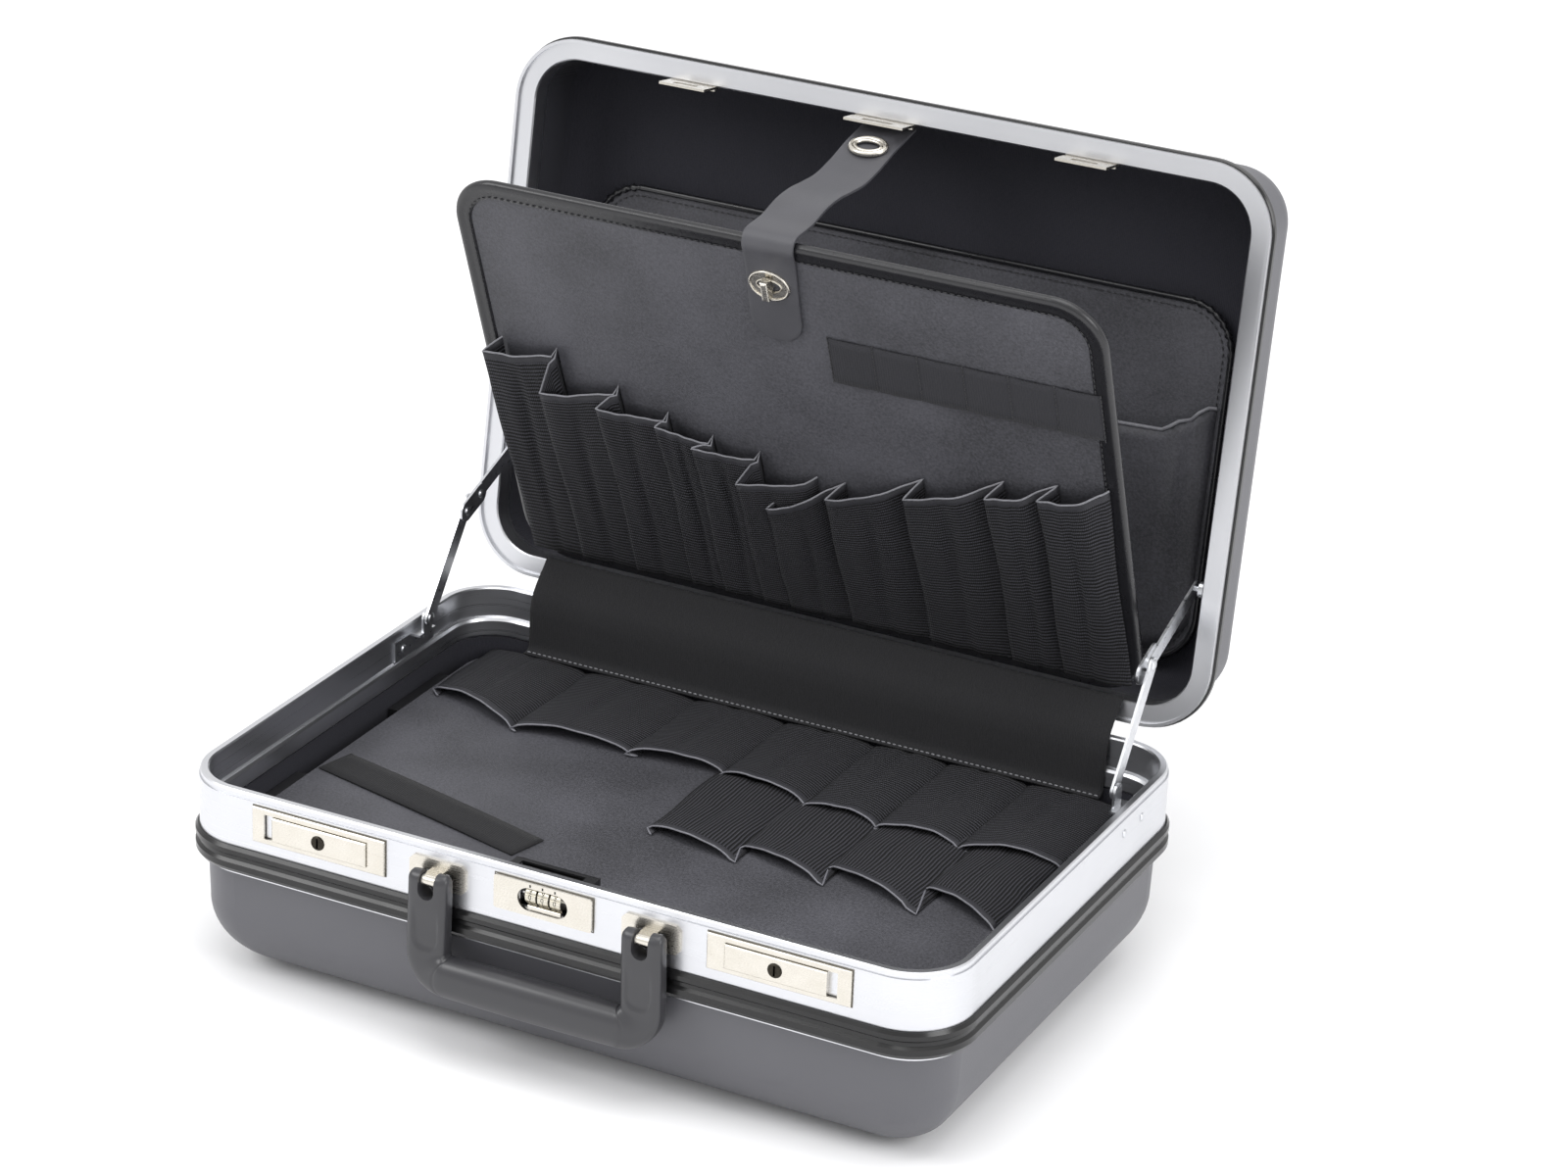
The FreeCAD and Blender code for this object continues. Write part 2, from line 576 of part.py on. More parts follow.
# ---------------------------------------------------------------- handle and its brackets
def make_handle():
    pin_y = front_y - handle_pin_offset
    pin_z = rim_z - handle_pin_z
    bottom = pin_z - handle_drop
    half_t = handle_arm_thickness / 2
    arms, pins, brackets = [], [], []
    inner_end = handle_spacing / 2 - handle_arm_width / 2 - grip_overlap
    for sign in (-1, 1):
        x = sign * handle_spacing / 2
        x0, x1 = x - handle_arm_width / 2, x + handle_arm_width / 2
        crown = rod(half_t, V(x0, pin_y, pin_z), V(x1, pin_y, pin_z))
        shank = box(x0, x1, pin_y - half_t, pin_y + half_t, bottom + grip_height / 2, pin_z)
        arm = crown.fuse(shank)
        foot = box(min(sign * inner_end, x), max(sign * inner_end, x), pin_y - grip_thickness / 2,
                   pin_y + half_t, bottom, bottom + grip_height)
        elbow = box(min(x, x + sign * handle_arm_width / 2), max(x, x + sign * handle_arm_width / 2),
                    pin_y - grip_thickness / 2, pin_y + half_t, bottom, bottom + grip_height)
        block = foot.fuse(elbow).removeSplitter()
        outer_x = x + sign * handle_arm_width / 2
        low = [e for e in block.Edges if abs(e.BoundBox.XMin - outer_x) < 1e-6 and abs(e.BoundBox.XMax - outer_x)
               < 1e-6 and abs(e.BoundBox.ZMax - bottom) < 1e-6]
        block = block.makeFillet(min(handle_elbow, grip_height - 1.0), low)
        arm = arm.fuse(block)
        slot = box(x - handle_slot / 2, x + handle_slot / 2, pin_y - half_t - 1, pin_y + half_t + 1,
                   pin_z - handle_slot_depth + handle_slot / 2, pin_z + half_t + 1)
        slot_end = rod(handle_slot / 2, V(x, pin_y - half_t - 1, pin_z - handle_slot_depth + handle_slot / 2),
                       V(x, pin_y + half_t + 1, pin_z - handle_slot_depth + handle_slot / 2))
        arm = arm.cut([slot, slot_end])
        pin = rod(handle_pin_radius, V(x0 + 3.0, pin_y, pin_z), V(x1 - 3.0, pin_y, pin_z))
        core_hole = rod(core_radius, V(sign * (inner_end - 1), pin_y - 2.0, bottom + grip_height / 2),
                        V(sign * (inner_end + 12), pin_y - 2.0, bottom + grip_height / 2))
        arms.append(arm.cut([pin, core_hole]).removeSplitter())
        pins.append(pin)

        knuckle_inner = handle_pin_radius + hinge_bore_gap
        knuckle_outer = knuckle_inner + bracket_knuckle_wall
        kx0, kx1 = x - bracket_knuckle_width / 2, x + bracket_knuckle_width / 2
        pw, ph = bracket_size
        top = pin_z + 9.2
        plate = box(x - pw / 2, x + pw / 2, front_y - bracket_thickness, front_y, top - ph, top)
        corners = [e for e in plate.Edges if abs(e.BoundBox.YLength - bracket_thickness) < 1e-6]
        plate = plate.makeChamfer(3.0, corners)
        window = box(x - bracket_knuckle_width, x + bracket_knuckle_width, front_y - bracket_thickness - 1,
                     front_y + 1, pin_z - 1.5, pin_z + 2.4)
        strap = box(kx0, kx1, pin_y, front_y - bracket_thickness / 2, pin_z + knuckle_inner, pin_z + knuckle_outer)
        tab = box(kx0, kx1, front_y - bracket_thickness, front_y, pin_z + knuckle_inner - 0.5, top - 1.0)
        curl = rod(knuckle_outer, V(kx0, pin_y, pin_z), V(kx1, pin_y, pin_z))
        bracket = plate.cut(window).fuse([strap, tab, curl])
        bore = rod(knuckle_inner, V(kx0 - 1, pin_y, pin_z), V(kx1 + 1, pin_y, pin_z))
        brackets.append(bracket.cut(bore).removeSplitter())
    parts["handle_brackets"] = group(brackets)
    parts["handle_arms"] = group(arms)
    parts["handle_pins"] = group(pins)

    length = 2 * inner_end
    centre_z = bottom + grip_height / 2
    sections = []
    for share, swell in ((0.0, 0.94), (0.15, 1.0), (0.5, 1.04), (0.85, 1.0), (1.0, 0.94)):
        centre = V(-length / 2 + share * length, pin_y - 2.0, centre_z)
        tall, deep = grip_height / 2 * swell, (grip_thickness - 4.0) / 2 * swell
        ring = Part.Ellipse(V(0, 0, 0), tall, deep).toShape()
        ring.rotate(V(0, 0, 0), V(0, 1, 0), 90)
        ring.translate(centre)
        sections.append(Part.Wire(ring))
    grip = Part.makeLoft(sections, True, False)
    core = rod(core_radius, V(-length / 2 - 11, pin_y - 2.0, centre_z), V(length / 2 + 11, pin_y - 2.0, centre_z))
    parts["handle_grip"] = grip.cut(core)
    parts["handle_core"] = core


# ---------------------------------------------------------------- folding stays at the sides
def link(start, end, width, x0, x1, holes):
    """Flat link with round ends between two (y, z) pivots, from x0 to x1."""
    a, b = V(x0, *start), V(x0, *end)
    along = (b - a).normalize()
    across = V(0, -along.z, along.y) * (width / 2)
    thick = V(x1 - x0, 0, 0)
    bar = polygon([a + across, b + across, b - across, a - across]).extrude(thick)
    ends = [rod(width / 2, a, a + thick), rod(width / 2, b, b + thick)]
    shape = bar.fuse(ends)
    bores = [rod(radius, V(x0 - 1, *place), V(x1 + 1, *place)) for place, radius in holes]
    return shape.cut(bores).removeSplitter() if bores else shape.removeSplitter()


def make_stays():
    def over_rim(pair):
        return (pair[0], rim_z + pair[1])

    tray_pivot, knee = over_rim(stay_tray_pivot), over_rim(stay_knee)
    lid_pivot_closed = V(0, stay_lid_pivot[0], rim_z + stay_lid_pivot[1])
    turn = FreeCAD.Rotation(x_axis, -lid_open_angle)
    lid_open = hinge_axis + turn.multVec(lid_pivot_closed - hinge_axis)
    lid_pivot = (lid_open.y, lid_open.z)
    bore = stay_pin_radius + stay_bore_gap

    ear0 = side_x - stay_ear_inset
    ear1 = ear0 - stay_thickness
    low0 = ear1 - stay_stack_gap
    low1 = low0 - stay_thickness
    up0 = low1 - stay_stack_gap
    up1 = up0 - stay_thickness

    length, height, thick = stay_plate
    wall = side_x - rim_width
    y0 = sum(stay_rivets_y) / 2 - length / 2
    plate = box(wall - thick, wall, y0, y0 + length, rim_z - stay_rivet_z - height / 2 + 1.5,
                rim_z - stay_rivet_z + height / 2)
    shelf_z = rim_z - stay_rivet_z + height / 2
    py = tray_pivot[0]
    shelf = box(ear1, wall, py - 9, py + 9, shelf_z - thick, shelf_z)
    ear = link((py, shelf_z - thick + 3.0), tray_pivot, stay_ear_width, ear1, ear0, [])
    ear = ear.cut(box(ear1 - 1, ear0 + 1, py - 20, py + 20, shelf_z - 40, shelf_z - thick))
    bracket = plate.fuse([shelf, ear])
    pin = rod(stay_pin_radius, V(ear0 - 0.5, *tray_pivot), V(low1 - 0.2, *tray_pivot))
    tray_pin = pin.fuse(dome(stay_pin_radius + 1.4, 1.2, V(low1 - 0.2, *tray_pivot), V(-1, 0, 0)))
    bracket = bracket.cut(pin)

    lower = link(tray_pivot, knee, stay_width, low1, low0, [(tray_pivot, bore)])
    knee_rivet = dome(3.4, 1.2, V(low0, *knee), V(1, 0, 0))
    lower = lower.fuse(knee_rivet)
    upper = link(knee, lid_pivot, stay_width, up1, up0, [(lid_pivot, bore)])
    along = V(0, lid_pivot[0] - knee[0], lid_pivot[1] - knee[1]).normalize()
    half = (knee_plate_size[0] - knee_plate_size[1]) / 2
    a = (knee[0] - along.y * half, knee[1] - along.z * half)
    b = (knee[0] + along.y * half, knee[1] + along.z * half)
    plate_x = up1 - stay_thickness
    knee_plate = link(a, b, knee_plate_size[1], plate_x, up1, [])
    knee_plate = knee_plate.fuse([dome(2.6, 1.2, V(plate_x, *a), V(-1, 0, 0)),
                                  dome(2.6, 1.2, V(plate_x, *b), V(-1, 0, 0))])

    lid_wall = side_x - lid_face_inner
    closed_y, closed_z = lid_pivot_closed.y, lid_pivot_closed.z
    lid_plate = box(lid_wall - thick, lid_wall, closed_y - 18, closed_y + 18, closed_z - 6, closed_z + 3)
    lid_ear = rod(stay_ear_width / 2, V(ear1, closed_y, closed_z), V(lid_wall, closed_y, closed_z))
    lid_pin = rod(stay_pin_radius, V(ear1 + 0.5, closed_y, closed_z), V(up1 - 0.2, closed_y, closed_z))
    lid_head = dome(stay_pin_radius + 1.4, 1.2, V(up1 - 0.2, closed_y, closed_z), V(-1, 0, 0))
    lid_bracket = opened(lid_plate.fuse(lid_ear).cut(lid_pin))
    lid_pin = opened(lid_pin.fuse(lid_head))

    rivets = [dome(rivet_radius, rivet_head, V(side_x, y, rim_z - stay_rivet_z), V(1, 0, 0))
              for y in stay_rivets_y]
    rivets += [dome(rivet_radius, rivet_head, V(wall - thick, y, rim_z - stay_rivet_z), V(-1, 0, 0))
               for y in stay_rivets_y]

    parts["stay_tray_brackets"] = group([bracket, mirrored(bracket)])
    parts["stay_tray_pins"] = group([tray_pin, mirrored(tray_pin)])
    parts["stay_lid_brackets"] = group([lid_bracket, mirrored(lid_bracket)])
    parts["stay_lid_pins"] = group([lid_pin, mirrored(lid_pin)])
    for side, place in (("right", lambda s: s), ("left", mirrored)):
        parts["stay_lower_link_" + side] = place(lower)
        parts["stay_upper_link_" + side] = place(upper)
        parts["stay_knee_plate_" + side] = place(knee_plate)
    return rivets + [mirrored(r) for r in rivets]


# ---------------------------------------------------------------- latch catches on the lid
def make_catches():
    wall_y = front_y + lid_face_inner
    catches = {}
    for name, width in catch_widths.items():
        x = catch_centres[name]
        plate = box(x - width / 2, x + width / 2, wall_y, wall_y + catch_thickness,
                    lid_face_z - catch_drop, lid_face_z + lid_wall_height - 2.0)
        window = box(x - width / 4, x + width / 4, wall_y - 1, wall_y + catch_thickness + 1,
                     lid_face_z - catch_drop + 3.0, lid_face_z - catch_drop + 8.0)
        rib = box(x - width / 2, x + width / 2, wall_y + catch_thickness, wall_y + catch_thickness + 1.2,
                  lid_face_z - 1.0, lid_face_z + 1.0)
        catches[name] = opened(plate.cut(window).fuse(rib).removeSplitter())
    parts["centre_catch"] = catches["centre"]
    parts["side_catches"] = group([catches["left"], catches["right"]])


# ---------------------------------------------------------------- pallet and fabric in the tray
def make_tray_fittings():
    top = rim_z - pallet_drop
    under = top - pallet_thickness
    parts["pallet"] = slab(pallet_size[0], pallet_size[1], pallet_corner, under, top)
    ledges = []
    wall = side_x - shell_inset - shell_draft - shell_wall - lining_gap - lining_thickness - 0.3
    for sign in (-1, 1):
        for y in (-80.0, 80.0):
            x0, x1 = sorted((sign * wall, sign * (wall - ledge_size[0])))
            ledges.append(box(x0, x1, y - ledge_size[1] / 2, y + ledge_size[1] / 2,
                              under - sheet_gap - ledge_size[2], under - sheet_gap))
    parts["pallet_ledges"] = group(ledges)
    for name, (x0, x1, y0, y1, height) in (("pallet_pockets_back", pocket_back),
                                            ("pallet_pockets_front", pocket_front),
                                            ("pallet_strap", pallet_strap)):
        parts[name] = box(x0, x1, y0, y1, top, top + height)

    start_y = pallet_size[1] / 2 - 1.0
    wall_y = back_y - bead_reach - flap_gap
    rim_y = back_y - rim_width - flap_gap
    lid_edge = V(0, back_y - lid_face_inner, lid_face_z)
    turn = FreeCAD.Rotation(x_axis, -lid_open_angle)
    lid_edge = hinge_axis + turn.multVec(lid_edge - hinge_axis)
    route = [(start_y, top + 0.2), (wall_y - 1.0, top + 8), (wall_y, rim_z - 10.0), (rim_y, rim_z + 0.5),
             (rim_y + 6.2, rim_z + 3.0), (lid_edge.y - 2.0, lid_edge.z - 4.6), (lid_edge.y - 0.6, lid_edge.z + 2.0)]
    thick = flap_thickness
    outer = [V(-flap_width / 2, y, z) for y, z in route]
    inner = []
    for index, point in enumerate(outer):
        before = outer[max(index - 1, 0)]
        after = outer[min(index + 1, len(outer) - 1)]
        along = (after - before).normalize()
        inner.append(point + V(0, -along.z, along.y) * thick)
    parts["hinge_flap"] = polygon(outer + inner[::-1]).extrude(V(flap_width, 0, 0))


# ---------------------------------------------------------------- tool board in the lid
def board_piece(x0, x1, low, high, z0, z1):
    """Box on the folded board: x, then height up the board, then height over the board's front face."""
    y_foot, face = board_hinge[0], lid_face_z + board_hinge[1]
    return box(x0, x1, y_foot - high, y_foot - low, face - z1, face - z0)


def make_board():
    width, height, thick = board_size
    y_foot = board_hinge[0]
    face = lid_face_z + board_hinge[1]
    rim = piping_radius
    centre = (0.0, y_foot - rim - height / 2)
    plain = slab(width, height, board_corner, face, face + thick, centre)
    path = rounded_wire(width, height, board_corner, face + thick / 2, centre)
    start = path.Edges[1].valueAt(path.Edges[1].FirstParameter)
    along = path.Edges[1].tangentAt(path.Edges[1].FirstParameter)
    section = Part.Wire(Part.makeCircle(rim, start, along))
    cord = Part.Wire(path.Edges[1:] + path.Edges[:1]).makePipeShell([section], True, False)
    parts["tool_board"] = tilted(plain.cut(cord))
    parts["board_piping"] = tilted(cord)

    low = rim + pocket_foot
    rows = []
    inside = slab(width - 2 * pocket_margin, height - 2 * pocket_margin, board_corner - pocket_margin,
                  face - pocket_bulge - 1, face, centre)
    for steps in (pocket_steps_left, pocket_steps_right):
        cells = [board_piece(x0, x1, low, high, 0.0, pocket_bulge) for x0, x1, high in steps]
        rows.append(tilted(cells[0].fuse(cells[1:]).removeSplitter().common(inside)))
    parts["board_pockets"] = group(rows)
    x0, x1, z0, z1 = loops_place
    parts["tool_loops"] = tilted(board_piece(x0, x1, z0, z1, 0.0, loops_thickness))

    strap_front = strap_gap + strap_thickness
    stem_top = strap_front + eyelet_thickness + 1.3
    y_lock = y_foot - lock_on_board
    base = rod(7.0, V(0, y_lock, face), V(0, y_lock, face - 0.6))
    stem = rod(knob_stem_radius, V(0, y_lock, face), V(0, y_lock, face - stem_top))
    parts["turn_lock_base"] = tilted(base.fuse(stem).removeSplitter())
    kw, kd, kh = knob_size
    knob_z = face - stem_top - 0.1
    knob = box(-kd / 2, kd / 2, y_lock - kw / 2, y_lock + kw / 2, knob_z - kh, knob_z)
    edges = [e for e in knob.Edges if e.BoundBox.ZLength < 1e-6 and abs(e.BoundBox.ZMin - knob_z + kh) < 1e-6]
    parts["turn_lock_knob"] = tilted(knob.makeFillet(1.4, edges))

    ew, eh = eyelet_size
    plate = oval_plate(ew, eh, eyelet_opening, V(0, y_lock, face - strap_front - eyelet_thickness),
                       eyelet_thickness)
    parts["turn_lock_eyelet"] = tilted(plate)


def oval_plate(width, height, opening, centre, thick):
    outline = Part.Face(Part.Wire(Part.Ellipse(centre, width / 2, height / 2).toShape()))
    inner = Part.Face(Part.Wire(Part.Ellipse(centre, opening[0] / 2, opening[1] / 2).toShape()))
    return outline.cut(inner).extrude(V(0, 0, thick))


# ---------------------------------------------------------------- strap from the lid to the board
def make_strap():
    tilt = math.radians(lid_open_angle - board_tilt)
    foot = V(0, board_hinge[0], lid_face_z + board_hinge[1])
    turn = FreeCAD.Rotation(x_axis, -lid_open_angle)
    foot = hinge_axis + turn.multVec(foot - hinge_axis)
    up = V(0, -math.cos(tilt), math.sin(tilt))
    out = V(0, -math.sin(tilt), -math.cos(tilt))
    cover = out * (strap_gap + strap_thickness / 2)

    def on_board(height):
        return foot + up * height + cover

    top = board_size[1] + 2 * piping_radius
    ridge = on_board(top) + up * 2.4
    lid_edge = hinge_axis + turn.multVec(V(0, front_y, lid_face_z) - hinge_axis)
    board_edge = foot + up * top
    path = [lid_edge + V(0, y, z) for y, z in strap_from_lid]
    path += [board_edge + V(0, y, z) for y, z in strap_from_board]
    points = list(path)
    points += [ridge + out * -3.6, ridge + out * 0.8, on_board(top - 4.0) + out * 1.4,
               on_board(top - 16.0), on_board(strap_tip)]
    half = strap_width / 2
    front, rear = [], []
    for index, point in enumerate(points):
        before = points[max(index - 1, 0)]
        after = points[min(index + 1, len(points) - 1)]
        along = (after - before).normalize()
        side = V(0, -along.z, along.y) * (strap_thickness / 2)
        front.append(point + side)
        rear.append(point - side)
    outline = [V(-half, p.y, p.z) for p in front + rear[::-1]]
    strap = polygon(outline).extrude(V(strap_width, 0, 0))
    lock = on_board(lock_on_board)
    hole = rod(8.0, lock - out * 4.0, lock + out * 4.0)
    parts["board_strap"] = strap.cut(hole)

    ring_place = path[1] + (path[2] - path[1]).normalize() * ring_along
    slope = math.atan2(path[1].z - path[2].z, path[1].y - path[2].y)
    ring = oval_plate(eyelet_size[0], eyelet_size[1], eyelet_opening, V(0, 0, 0), eyelet_thickness)
    ring.rotate(V(0, 0, 0), x_axis, math.degrees(slope))
    ring.translate(ring_place + V(0, -math.sin(slope), math.cos(slope)) * (strap_thickness / 2 + 0.4))
    parts["strap_eyelet"] = ring


# ---------------------------------------------------------------- document panel in the lid
def make_document_panel():
    width, height, thick = panel_size
    back = rim_z + lid_height - shell_wall - 2 * lining_gap - lining_thickness - panel_clear
    centre = (0.0, panel_top + height / 2)
    parts["document_panel"] = opened(slab(width, height, panel_corner, back - thick, back, centre))
    x0, x1, y0, y1, deep = panel_pocket
    parts["document_pocket"] = opened(box(x0, x1, y0, y1, back - thick - deep, back - thick))


def main():
    os.makedirs("parts", exist_ok=True)
    make_tray()
    make_lid()
    rivets = make_hinges()
    parts["lock_plates"] = group([make_lock("left", -1), make_lock("right", 1)])
    make_combination()
    make_handle()
    rivets += make_stays()
    parts["tray_rivets"] = group(rivets)
    make_catches()
    make_tray_fittings()
    make_board()
    make_strap()
    make_document_panel()
    for name, shape in parts.items():
        shape.exportStep(os.path.join("parts", name + ".step"))
        valid = shape.isValid() and shape.Volume > 0
        print("%-24s solids %d  volume %9.0f  %s" % (name, len(shape.Solids), shape.Volume, "ok" if valid else "BAD"))


main()
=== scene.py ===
"""Looks for the open tool attache case: finishes for its CAD pieces, and its sewn pieces made in full."""

import json
import math

import bmesh
import bpy
from mathutils import Matrix, Vector


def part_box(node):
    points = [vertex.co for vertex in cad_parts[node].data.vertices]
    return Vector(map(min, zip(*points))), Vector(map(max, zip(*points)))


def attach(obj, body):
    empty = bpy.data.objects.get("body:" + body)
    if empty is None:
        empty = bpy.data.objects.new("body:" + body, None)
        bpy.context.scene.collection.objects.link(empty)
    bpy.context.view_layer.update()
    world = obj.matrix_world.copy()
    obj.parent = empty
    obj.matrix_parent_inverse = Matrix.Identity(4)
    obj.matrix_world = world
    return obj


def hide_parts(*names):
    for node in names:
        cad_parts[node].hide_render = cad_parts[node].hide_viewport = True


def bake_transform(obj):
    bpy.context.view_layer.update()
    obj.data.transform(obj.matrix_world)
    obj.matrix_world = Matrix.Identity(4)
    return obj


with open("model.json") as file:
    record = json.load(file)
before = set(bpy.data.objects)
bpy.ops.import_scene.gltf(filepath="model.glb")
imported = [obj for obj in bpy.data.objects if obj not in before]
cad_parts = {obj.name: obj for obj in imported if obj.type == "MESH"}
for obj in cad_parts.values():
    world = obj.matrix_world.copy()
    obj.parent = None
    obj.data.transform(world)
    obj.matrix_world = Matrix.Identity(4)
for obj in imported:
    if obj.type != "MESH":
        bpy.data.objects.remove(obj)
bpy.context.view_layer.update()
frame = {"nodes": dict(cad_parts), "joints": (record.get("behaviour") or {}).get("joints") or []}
cad = frame["nodes"]
joints = {j["name"]: j for j in frame["joints"]}


# ================================================================ tray and lid shells
# Two deep halves drawn from dark-grey ABS sheet, with the fine even grain of the mould on a satin skin.
# Each shell's edge is clamped in its aluminium frame.
def linear(hex_colour):
    """Linear colour from an sRGB hex value."""
    out = []
    for start in (1, 3, 5):
        part = int(hex_colour[start:start + 2], 16) / 255
        out.append(part / 12.92 if part <= 0.04045 else ((part + 0.055) / 1.055) ** 2.4)
    return (*out, 1.0)


def add_node(tree, kind, inputs=None, **settings):
    """Add a node with its settings; each input takes a value, or the socket that feeds it."""
    node = tree.nodes.new(kind)
    for name, value in settings.items():
        setattr(node, name, value)
    for key, value in (inputs or {}).items():
        if isinstance(value, bpy.types.NodeSocket):
            tree.links.new(value, node.inputs[key])
        else:
            node.inputs[key].default_value = value
    return node


def new_finish(name, shader):
    """A material with one Principled shader whose sockets are set by name."""
    material = bpy.data.materials.new(name)
    material.use_nodes = True
    tree = material.node_tree
    tree.nodes.clear()
    surface = add_node(tree, "ShaderNodeBsdfPrincipled", shader)
    add_node(tree, "ShaderNodeOutputMaterial", {"Surface": surface.outputs[0]})
    place = add_node(tree, "ShaderNodeTexCoord")
    return material, tree, surface, place


def drive(tree, surface, tone=None, rough=None, relief=None):
    """Let patterns drive the shader.

    tone is (pattern, dark, light) and relief is (pattern, strength, distance). rough is (pattern, low, high), with
    the pattern's own span after it where that isn't 0 to 1.
    """
    if tone:
        pattern, dark, light = tone
        mix = add_node(tree, "ShaderNodeMix", {0: pattern, 6: linear(dark), 7: linear(light)}, data_type="RGBA")
        tree.links.new(mix.outputs[2], surface.inputs["Base Color"])
    if rough:
        pattern, low, high, *span = rough
        spread = add_node(tree, "ShaderNodeMapRange", {0: pattern, 3: low, 4: high, **dict(zip((1, 2), span))})
        tree.links.new(spread.outputs[0], surface.inputs["Roughness"])
    if relief:
        pattern, strength, distance = relief
        bump = add_node(tree, "ShaderNodeBump", {"Height": pattern, "Strength": strength, "Distance": distance})
        tree.links.new(bump.outputs[0], surface.inputs["Normal"])


def dress(material, *names):
    """Give CAD pieces a finish."""
    for name in names:
        for slot in cad[name].material_slots:
            slot.material = material


# moulded ABS: satin, IOR 1.54; the mould's grain is about 0.6 mm and is drawn at 0.9 mm so that it shows
abs_moulded, tree, surface, place = new_finish("abs_dark_grey_moulded", {
    "Base Color": linear("#545459"), "Roughness": 0.42, "IOR": 1.54})
grain = add_node(tree, "ShaderNodeTexVoronoi", {"Vector": place.outputs["Object"], "Scale": 1 / 0.0009})
cloudy = add_node(tree, "ShaderNodeTexNoise", {"Vector": place.outputs["Object"], "Scale": 9.0, "Detail": 3.0})
drive(tree, surface, (cloudy.outputs[0], "#4e4e53", "#58585d"), (cloudy.outputs[0], 0.38, 0.47),
      (grain.outputs["Distance"], 0.16, 0.0002))
dress(abs_moulded, "tray_shell", "lid_shell")

# ================================================================ aluminium frames
# Extruded aluminium rings bent round the corners and clear anodised: bright, slightly soft reflections,
# with faint die lines that run along the section.
lid_turn = math.radians(joints["lid_hinge"]["range_deg"][1])


def aluminium_anodised(name, turned):
    """Anodised extrusion; its die lines run round a ring that is turned this far about X."""
    material, tree, surface, place = new_finish(name, {
        "Base Color": linear("#d2d3d6"), "Metallic": 1.0, "Roughness": 0.32})
    level = add_node(tree, "ShaderNodeMapping", {"Vector": place.outputs["Object"], "Rotation": (turned, 0, 0)})
    # die lines about 0.4 mm apart across the section, metres long along it
    stretch = add_node(tree, "ShaderNodeMapping", {"Vector": level.outputs[0], "Scale": (4.0, 4.0, 2500.0)})
    lines = add_node(tree, "ShaderNodeTexNoise", {"Vector": stretch.outputs[0], "Scale": 1.0, "Detail": 2.0})
    patches = add_node(tree, "ShaderNodeTexNoise", {"Vector": level.outputs[0], "Scale": 16.0, "Detail": 3.0})
    drive(tree, surface, (patches.outputs[0], "#cbccd0", "#dadbde"), (lines.outputs[0], 0.27, 0.36, 0.3, 0.7),
          (lines.outputs[0], 0.03, 0.00005))
    return material


dress(aluminium_anodised("aluminium_anodised_tray", 0.0), "tray_frame", "tray_trim_strip")
dress(aluminium_anodised("aluminium_anodised_lid", lid_turn), "lid_frame")

# ================================================================ rubber bumpers
# Soft black PVC profiles pushed on over the joint of frame and shell, slightly shiny from handling.
def mottled(name, shader, scale, detail, tone=None, rough=None, relief=None):
    """A finish with one noise, which may drift its tone, spread its roughness and raise its skin."""
    material, tree, surface, place = new_finish(name, shader)
    noise = add_node(tree, "ShaderNodeTexNoise", {
        "Vector": place.outputs["Object"], "Scale": scale, "Detail": detail}).outputs[0]
    drive(tree, surface, tone and (noise, *tone), rough and (noise, *rough), relief and (noise, *relief))
    return material


rubber = mottled("pvc_bumper_black", {"Base Color": linear("#0b0b0c"), "Roughness": 0.22, "IOR": 1.5},
                 60.0, 5.0, rough=(0.16, 0.27), relief=(0.08, 0.0003))
dress(rubber, "tray_seal", "lid_seal")

# ================================================================ steel hardware
# Hinges, stays, pins and rivets: pressed steel, bright zinc plated, with a faint cloudy bloom.
zinc = mottled("steel_zinc_plated", {"Base Color": linear("#cfd1d4"), "Metallic": 1.0, "Roughness": 0.28},
               220.0, 4.0, tone=("#babcc0", "#e2e3e6"), rough=(0.2, 0.4))
dress(zinc, "hinge_tray_leaves", "hinge_lid_leaves", "hinge_pins", "tray_rivets", "lid_hinge_rivets",
      "stay_tray_brackets", "stay_tray_pins", "stay_lid_brackets", "stay_lid_pins",
      "stay_lower_link_left", "stay_lower_link_right", "stay_upper_link_left", "stay_upper_link_right",
      "stay_knee_plate_left", "stay_knee_plate_right", "dial_axle", "handle_core", "handle_pins")

# ================================================================ nickel fittings
# Locks, catches, handle brackets and the turn lock: die cast or pressed, satin nickel with its warm cast.
nickel, tree, surface, place = new_finish("nickel_satin_plated", {
    "Base Color": linear("#d5d1c8"), "Metallic": 1.0, "Roughness": 0.28})
brushed = add_node(tree, "ShaderNodeMapping", {
    "Vector": place.outputs["Object"], "Scale": (60.0, 900.0, 2200.0)})
lines = add_node(tree, "ShaderNodeTexNoise", {"Vector": brushed.outputs[0], "Scale": 1.0, "Detail": 3.0})
mist = add_node(tree, "ShaderNodeTexNoise", {"Vector": place.outputs["Object"], "Scale": 90.0, "Detail": 2.0})
drive(tree, surface, (mist.outputs[0], "#cac5ba", "#dad6ce"), (lines.outputs[0], 0.2, 0.34, 0.3, 0.7))
dress(nickel, "lock_plates", "lock_slider_left", "lock_slider_right", "combination_plate", "combination_button",
      "handle_brackets", "centre_catch", "side_catches", "turn_lock_base", "turn_lock_knob", "turn_lock_eyelet",
      "strap_eyelet")

# key plugs: the same casting coloured near black all over, painted shade standing in for the dark keyhole
plug_painted_keyhole_shade = mottled("nickel_painted_keyhole_shade", {"Base Color": linear("#2e2b27"), "Metallic": 1.0, "Roughness": 0.38},
                     700.0, 3.0, tone=("#1d1b18", "#47433b"))
dress(plug_painted_keyhole_shade, "key_plug_left", "key_plug_right")

# a thin dark grey ring round each lock plate and the combination plate where they stand on the band: painted
# shadow of the gap at the plates' rounded edges, partly dirt
plate_gap_shadow = mottled("plate_gap_painted_shadow_grey", {"Base Color": linear("#5f5b53"), "Roughness": 0.6}, 800.0, 2.0,
                    tone=("#4c4942", "#77736a"))


